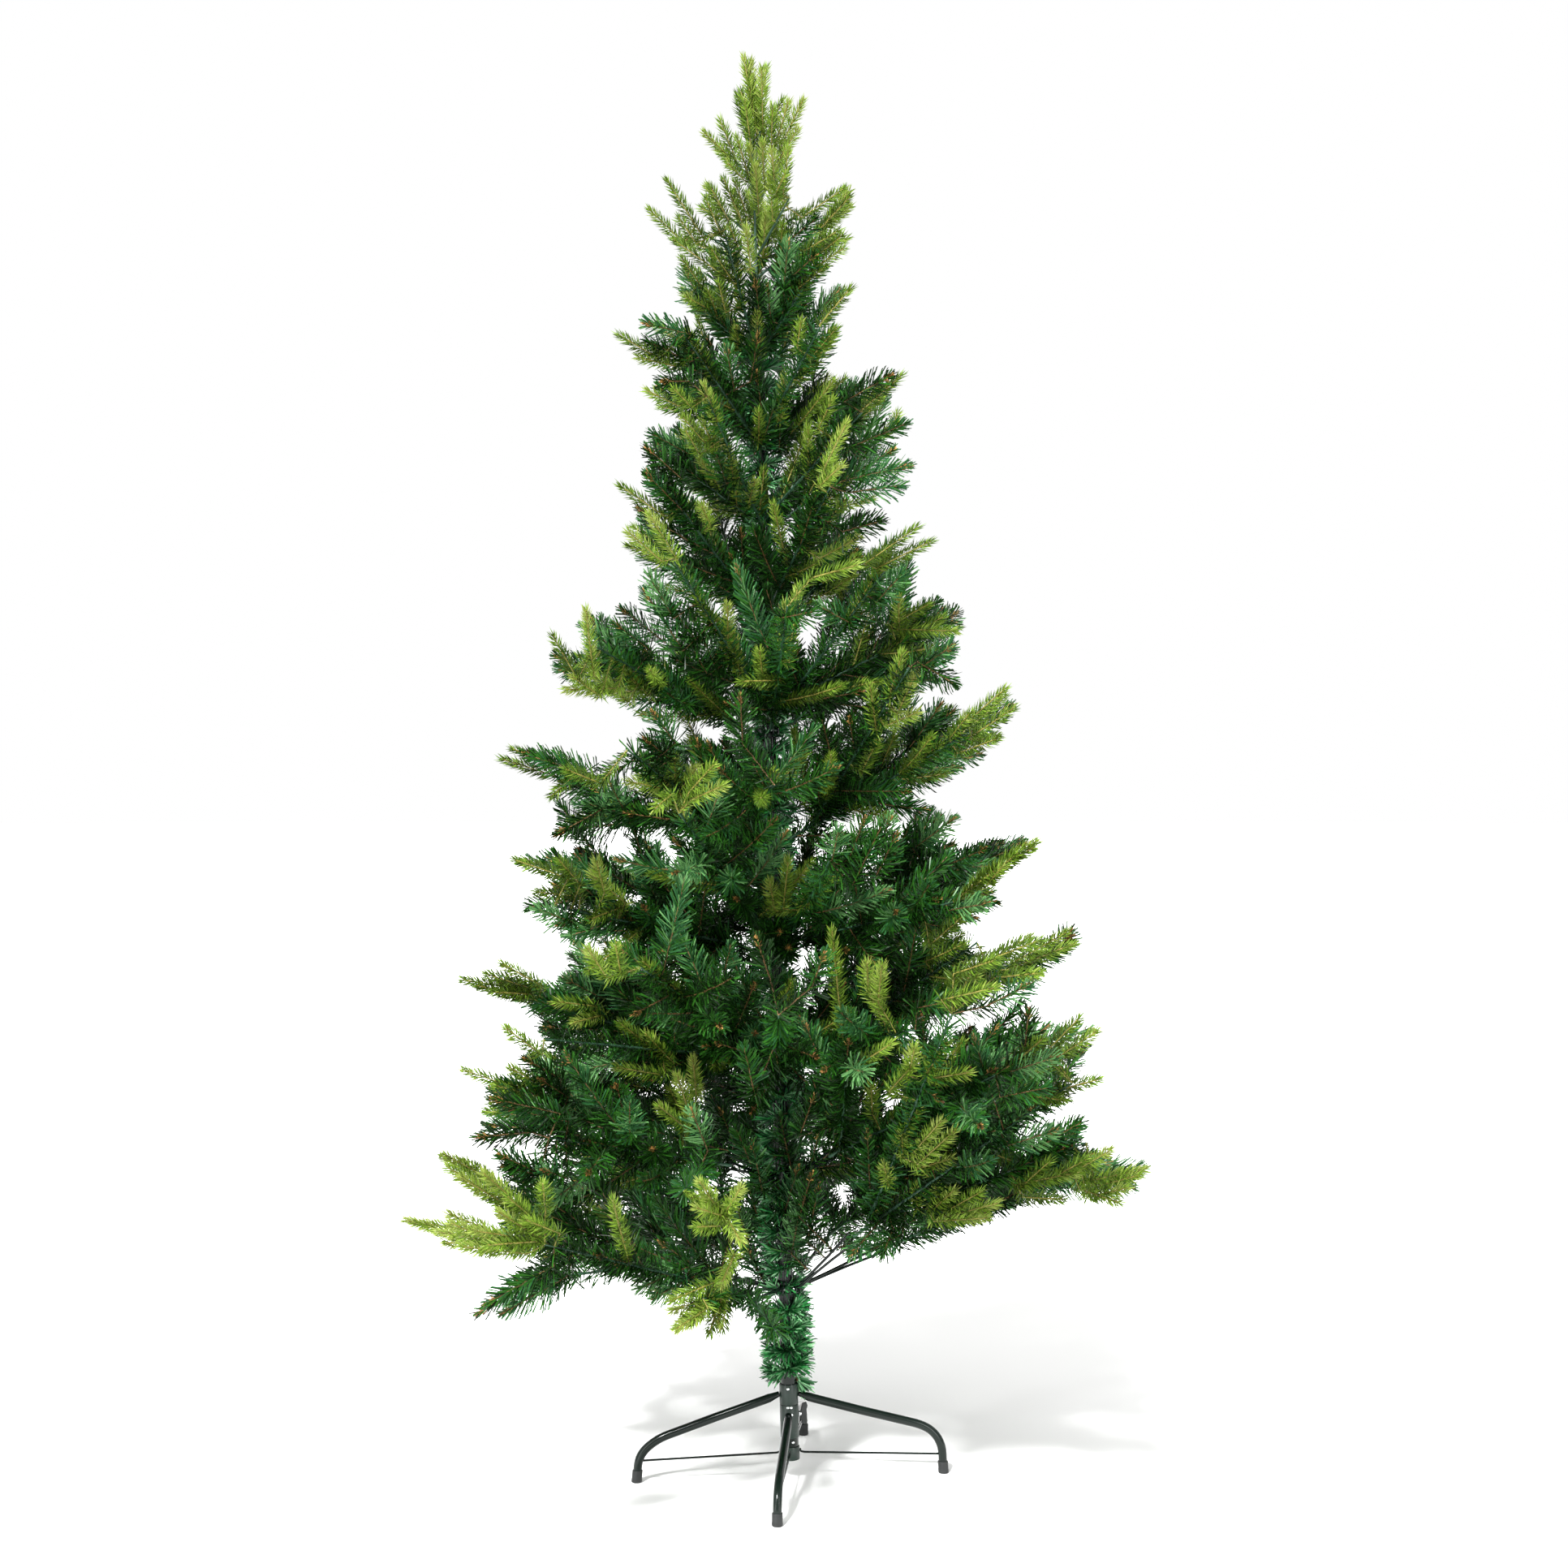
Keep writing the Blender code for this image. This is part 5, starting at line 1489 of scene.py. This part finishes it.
# %% One needle of each kind
def needle_shape(name, points, faces):
    """An object of a few faces, which the trees stand on their points."""
    mesh = bpy.data.meshes.new(name)
    mesh.from_pydata(points, [], faces)
    return add_object(name, mesh)


def strip(name, width, bend):
    """A cut strip of film, one unit long, with a slanted end, a bend and a slight twist."""
    points = [
        (0, -0.45 * width, 0), (0, 0.45 * width, 0), (-bend + 0.03, 0.5 * width, 0.92),
        (-bend - 0.03, -0.25 * width, 1),
    ]
    return needle_shape(name, points, [(0, 1, 2, 3)])


def kite(name, width, ridge, bend):
    """A kite folded along its middle: pointed at both ends and widest before the middle."""
    points = [(0, 0, 0), (ridge, -0.5 * width, 0.4), (ridge, 0.5 * width, 0.4), (-bend, 0, 1)]
    return needle_shape(name, points, [(0, 1, 3), (0, 3, 2)])


DARK_LENGTH = 0.034
FRESH_LENGTH = 0.0210
BUD_LENGTH = 0.0085
dark_needle = strip("film_strip", 2.0 * MM, 0.14)
fresh_needle = kite("moulded_needle", 1.9 * MM, 0.05, 0.08)
bud_needle = strip("bud_strip", 1.6 * MM, 0.05)
print("needles of", DARK_LENGTH, FRESH_LENGTH, "and", BUD_LENGTH, "m")

# %% [markdown]
# ## Grow the crown
# Each region of the crown gives up to six pieces: dark needles, fresh needles, brown buds, the twigs
# and stems that they stand on, and the bough wires. All of one kind in a region are joined, because a
# piece for each of the thousand tips would be slow to draw and hard to keep in order. The pieces of a
# region stand for all its masses of foliage together.

# %% Needles and wires
DARK_SPACING = 0.74 * MM
FRESH_SPACING = 0.66 * MM
BUD_SPACING = 0.45 * MM
# How far a needle's turn strays from the golden one, in radians
SCATTER = 0.5
TWIG_RADIUS = 0.0011
BOUGH_WIRE_RADIUS = 0.0024
MASS_COUNTS = {"low": 6, "second": 5, "third": 5, "fourth": 4, "fifth": 3, "sixth": 3, "upper": 3}
TRIANGLE_LIMIT = 200000


def masses_of(region):
    """The names of the foliage nodes of a region."""
    if region == "top":
        return ["foliage_top"]
    return [f"foliage_{region}_{k + 1}" for k in range(MASS_COUNTS[region])]


def triangles(piece):
    """How many triangles a piece has."""
    return sum(len(face.vertices) - 2 for face in piece.data.polygons)


dark_tree = needle_tree("dark_needles_along_shoots", dark_finishes)
fresh_tree = needle_tree("fresh_needles_along_shoots", fresh_finishes)
bud_tree = needle_tree("brown_buds_along_shoots", bud_finishes)
twig_tree = tube_tree("twisted_wire", twig_paint)
stem_tree = tube_tree("moulded_stem", stem_moulding)
bough_tree = tube_tree("wrapped_bough_wire", bough_wrap)

# What goes into the trees of the needles and of the wires
dark_values = {"Form": dark_needle, "Spacing": DARK_SPACING, "Length": DARK_LENGTH, "Scatter": SCATTER}
fresh_values = {"Form": fresh_needle, "Spacing": FRESH_SPACING, "Length": FRESH_LENGTH, "Scatter": SCATTER}
bud_values = {"Form": bud_needle, "Spacing": BUD_SPACING, "Length": BUD_LENGTH, "Scatter": SCATTER}
twig_values = {"Radius": TWIG_RADIUS, "Sides": 4}
bough_values = {"Radius": BOUGH_WIRE_RADIUS, "Sides": 6}
# Name, slot, lines, tree and values of each kind of piece in a region
KINDS = (
    ("dark_needles", "dark_needles", dark_lines, dark_tree, dark_values),
    ("fresh_needles", "fresh_needles", fresh_lines, fresh_tree, fresh_values),
    ("brown_buds", "dark_needles", bud_lines, bud_tree, bud_values),
    ("twigs", "dark_needles", dark_lines, twig_tree, twig_values),
    ("stems", "fresh_needles", fresh_lines, stem_tree, twig_values),
    ("bough_wires", "green_powder_coat", wire_lines, bough_tree, bough_values),
)

total = 0
for number, region in enumerate(REGIONS):
    for label, slot, lines, tree, values in KINDS:
        if not lines[region].points:
            continue
        piece = grow(f"{label}_{region}", lines[region], tree, Seed=SEED + number, **values)
        keep(piece, slot, *masses_of(region))
        count = triangles(piece)
        total += count
        print(piece.name, count, "triangles", "over the limit" if count > TRIANGLE_LIMIT else "")
print("needles and wires", total, "triangles")
for shape in (dark_needle, fresh_needle, bud_needle):
    bpy.data.objects.remove(shape, do_unlink=True)

# %% [markdown]
# ## Hubs, hinges and bare boughs
# The boughs hinge on stamped steel hubs: a flange round the pole and, for each bough, two ears with a
# zinc-plated pin between them. The flange is turned like the collars. Ears and pins are plain boxes
# and rods, because they are small and sit in the shade of the crown.

# %% Hubs and hinges
EAR_REACH = 0.0085
EAR_HALF = 0.0040
EAR_THICK = 0.0012
PIN_RADIUS = 0.0016
PIN_HEAD = 0.0008
# How far along its ear a pin sits
PIN_PLACE = 0.45
# The ear's height as a share of the hub's, and how deep it goes into the flange
EAR_SHARE = 0.62
EAR_ROOT = 0.002
HUB_INNER_SHARE = 0.62
HUB_SIDES = 36

form = bmesh.new()
pins = bmesh.new()
for ring, height, reach, bare, boughs in RINGS:
    low, high = height - HUB_HEIGHT / 2, height + HUB_HEIGHT / 2
    inner = HUB_RADIUS * HUB_INNER_SHARE
    flange = [
        (inner, low), (HUB_RADIUS - EDGE, low), (HUB_RADIUS, low + EDGE), (HUB_RADIUS, low + 3 * EDGE),
        (HUB_RADIUS - 3 * EDGE, low + 4 * EDGE), (HUB_RADIUS - 3 * EDGE, high - 4 * EDGE),
        (HUB_RADIUS, high - 3 * EDGE), (HUB_RADIUS, high - EDGE), (HUB_RADIUS - EDGE, high), (inner, high),
    ]
    turned(form, flange, HUB_SIDES, STAND_PLACE)
    for azimuth, rise in boughs:
        side = outward(azimuth)
        across = outward(azimuth + 90)
        base = on_axis(height)
        for sign in (-1, 1):
            middle = base + side * (HUB_RADIUS + EAR_REACH / 2 - EAR_ROOT) + across * (EAR_HALF * sign)
            place = Matrix.Translation(middle) @ Matrix.Rotation(math.radians(azimuth), 4, "Z")
            ear = bmesh.ops.create_cube(form, size=1.0)["verts"]
            size = (EAR_REACH + 2 * EAR_ROOT, EAR_THICK, HUB_HEIGHT * EAR_SHARE)
            bmesh.ops.scale(form, vec=size, verts=ear)
            bmesh.ops.transform(form, matrix=place, verts=ear)
        pin = base + side * (HUB_RADIUS + EAR_REACH * PIN_PLACE)
        half = EAR_HALF + EAR_THICK + 0.0006
        swept(pins, [pin - across * half, pin + across * half], [PIN_RADIUS] * 2, 10)
        for sign in (-1, 1):
            dome(pins, facing(pin + across * half * sign, across * sign), PIN_RADIUS * 1.5, PIN_HEAD)
keep(add_piece("hubs", form, powder_coat), "green_powder_coat", "pole")
keep(add_piece("hinge_pins", pins, zinc_plate), "green_powder_coat")
print(len(RINGS), "hubs")

# %% [markdown]
# The two lowest rings show bare steel between the hub and the first tips. Each bough is a bent pair
# of wires that hooks round its pin, so two wires are swept side by side and two loops close them.
# Curve objects with a bevel would give the same wires, but here a whole bough is one mesh.

# %% Bare bough wires
WIRE_SPREAD = math.radians(3.0)
PAIR_STEPS = (0.0, 0.12, 0.3, 0.6, 1.0)
PAIR_HALF = 0.0012
PAIR_RADIUS = 0.0021
# The eye round the pin: its own wire's radius, and how far its two turns lie apart
EYE_RADIUS = 0.0013
EYE_HALF = 0.0016
EYE_STEPS = 12

for name, height, azimuth, rise, bare in bare_limbs:
    form = bmesh.new()
    pin = on_axis(height) + outward(azimuth) * (HUB_RADIUS + EAR_REACH * PIN_PLACE)
    end = wire_end(height, azimuth, rise, bare)
    run = (end - pin).length
    ahead = (end - pin) / run
    across, over = side_frame(ahead)
    for sign in (-1, 1):
        line = []
        for t in PAIR_STEPS:
            part = run * math.tan(WIRE_SPREAD) * t * t
            line.append(pin + ahead * run * t + (across * 0.6 + over) * sign * (PAIR_HALF + part * 0.7))
        swept(form, line, [PAIR_RADIUS] * len(line), 10)
    for turn in range(2):
        loop = []
        for k in range(EYE_STEPS + 1):
            angle = 2 * math.pi * k / EYE_STEPS
            place = pin + (ahead * math.cos(angle) + over * math.sin(angle)) * (PIN_RADIUS + EYE_RADIUS)
            loop.append(place + across * (EYE_HALF * (turn * 2 - 1)))
        swept(form, loop, [EYE_RADIUS] * len(loop), 8)
    keep(add_piece(f"{name}_wires", form, powder_coat), "green_powder_coat", name)
print(len(bare_limbs), "bare boughs")

# %% [markdown]
# ## Tinsel round the pole
# A garland of shiny green film winds round the whole pole and hides the steel. Its strips are held
# in a twisted wire and stand out to all sides; at the lower end they fan down over the collar. The
# wire is a helix whose points know which way is outward. A small tree of nodes aims each strip that
# way, with a random stray, so that the strips bunch along the winding and never enter the pole.


# %% The garland tree
def garland_tree(name, finishes):
    """A Geometry Nodes tree that aims strips outward along a winding wire."""
    labels = {"Form": "Object", "Spacing": "Float", "Length": "Float", "Stray": "Float", "Seed": "Int"}
    tree, given = new_tree(name, labels)
    spots = even_spots(tree, given)
    inputs = {0: (-1.0, -1.0, -1.0), 1: (1.0, 1.0, 1.0), "Seed": given["Seed"]}
    stray = node(tree, "FunctionNodeRandomValue", inputs, data_type="FLOAT_VECTOR").outputs[0]
    inputs = {0: stray, "Scale": given["Stray"]}
    stray = node(tree, "ShaderNodeVectorMath", inputs, operation="SCALE").outputs[0]
    inputs = {0: carried(tree, "aim", "FLOAT_VECTOR"), 1: stray}
    aim = node(tree, "ShaderNodeVectorMath", inputs, operation="ADD").outputs[0]
    aligned = node(tree, "FunctionNodeAlignRotationToVector", {"Vector": aim}, axis="Z")
    spin = node(tree, "ShaderNodeCombineXYZ", {"Z": drawn(tree, given, 0.0, 6.28, 1)}).outputs["Vector"]
    rotation = turned_by(tree, aligned.outputs["Rotation"], spin)
    length = math_of(tree, "MULTIPLY", drawn(tree, given, 0.5, 1.05, 2), given["Length"])
    shade = drawn(tree, given, -0.5, len(finishes) - 0.5, 3)
    stand_on(tree, given, spots["Points"], rotation, length, shade, finishes)
    return tree


# %% [markdown]
# The garland's wire is written as points on a helix. The stretch below the lowest hub shows best and
# gets close strips; the rest hides inside the crown and gets fewer.

# %% Tinsel garland
GARLAND_BOTTOM = 0.1415
GARLAND_TOP = 1.66
GARLAND_PITCH = 0.028
STRIP_REACH = 0.031
FOOT_SPACING = 0.15 * MM
CROWN_SPACING = 0.40 * MM
STEPS_A_TURN = 16
# Strips point down at the garland's lower end and a little up higher on
FOOT_FALL = 0.018
FALL = -1.1
RISE = 0.18
STRAY_SHARE = 0.75
TINSEL_WIRE_RADIUS = 0.0013
# Room between the pole's skin and the garland's wire
TINSEL_ROOM = 0.0024

foot_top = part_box("pole_tinsel")[1].z
tinsel_strip = strip("tinsel_strip", 2.3 * MM, 0.16)
strip_tree = garland_tree("tinsel_along_helix", tinsel_finishes)
core_tree = tube_tree("tinsel_wire", twig_paint)
for part, low, high, spacing in (
    ("foot", GARLAND_BOTTOM, foot_top, FOOT_SPACING), ("crown", foot_top, GARLAND_TOP, CROWN_SPACING),
):
    helix = Lines()
    spots, aims = [], []
    for k in range(int((high - low) / GARLAND_PITCH * STEPS_A_TURN) + 1):
        height = low + GARLAND_PITCH * k / STEPS_A_TURN
        azimuth = 360.0 * k / STEPS_A_TURN
        pole_radius = next(radius for radius, top in POLE_SECTIONS if height <= top)
        falling = max(0.0, 1.0 - (height - GARLAND_BOTTOM) / FOOT_FALL)
        spots.append(on_axis(height) + outward(azimuth) * (pole_radius + TINSEL_ROOM))
        aims.append(outward(azimuth) + Vector((0, 0, FALL * falling + RISE * (1 - falling))))
    helix.add(spots, 0, 0, 0, 1.0)
    helix.aims = aims
    piece = grow(
        f"tinsel_{part}", helix, strip_tree, Form=tinsel_strip, Spacing=spacing, Length=STRIP_REACH,
        Stray=STRAY_SHARE, Seed=SEED,
    )
    nodes = ["pole_tinsel"] if part == "foot" else []
    keep(piece, "tinsel", *nodes)
    core = grow(f"tinsel_wire_{part}", helix, core_tree, Radius=TINSEL_WIRE_RADIUS, Sides=6)
    keep(core, "tinsel", *nodes)
    print(piece.name, triangles(piece), "triangles")
bpy.data.objects.remove(tinsel_strip, do_unlink=True)

# %% [markdown]
# ## Finish
# The last line brings the view layer up to date.

# %% Finish
bpy.context.view_layer.update()
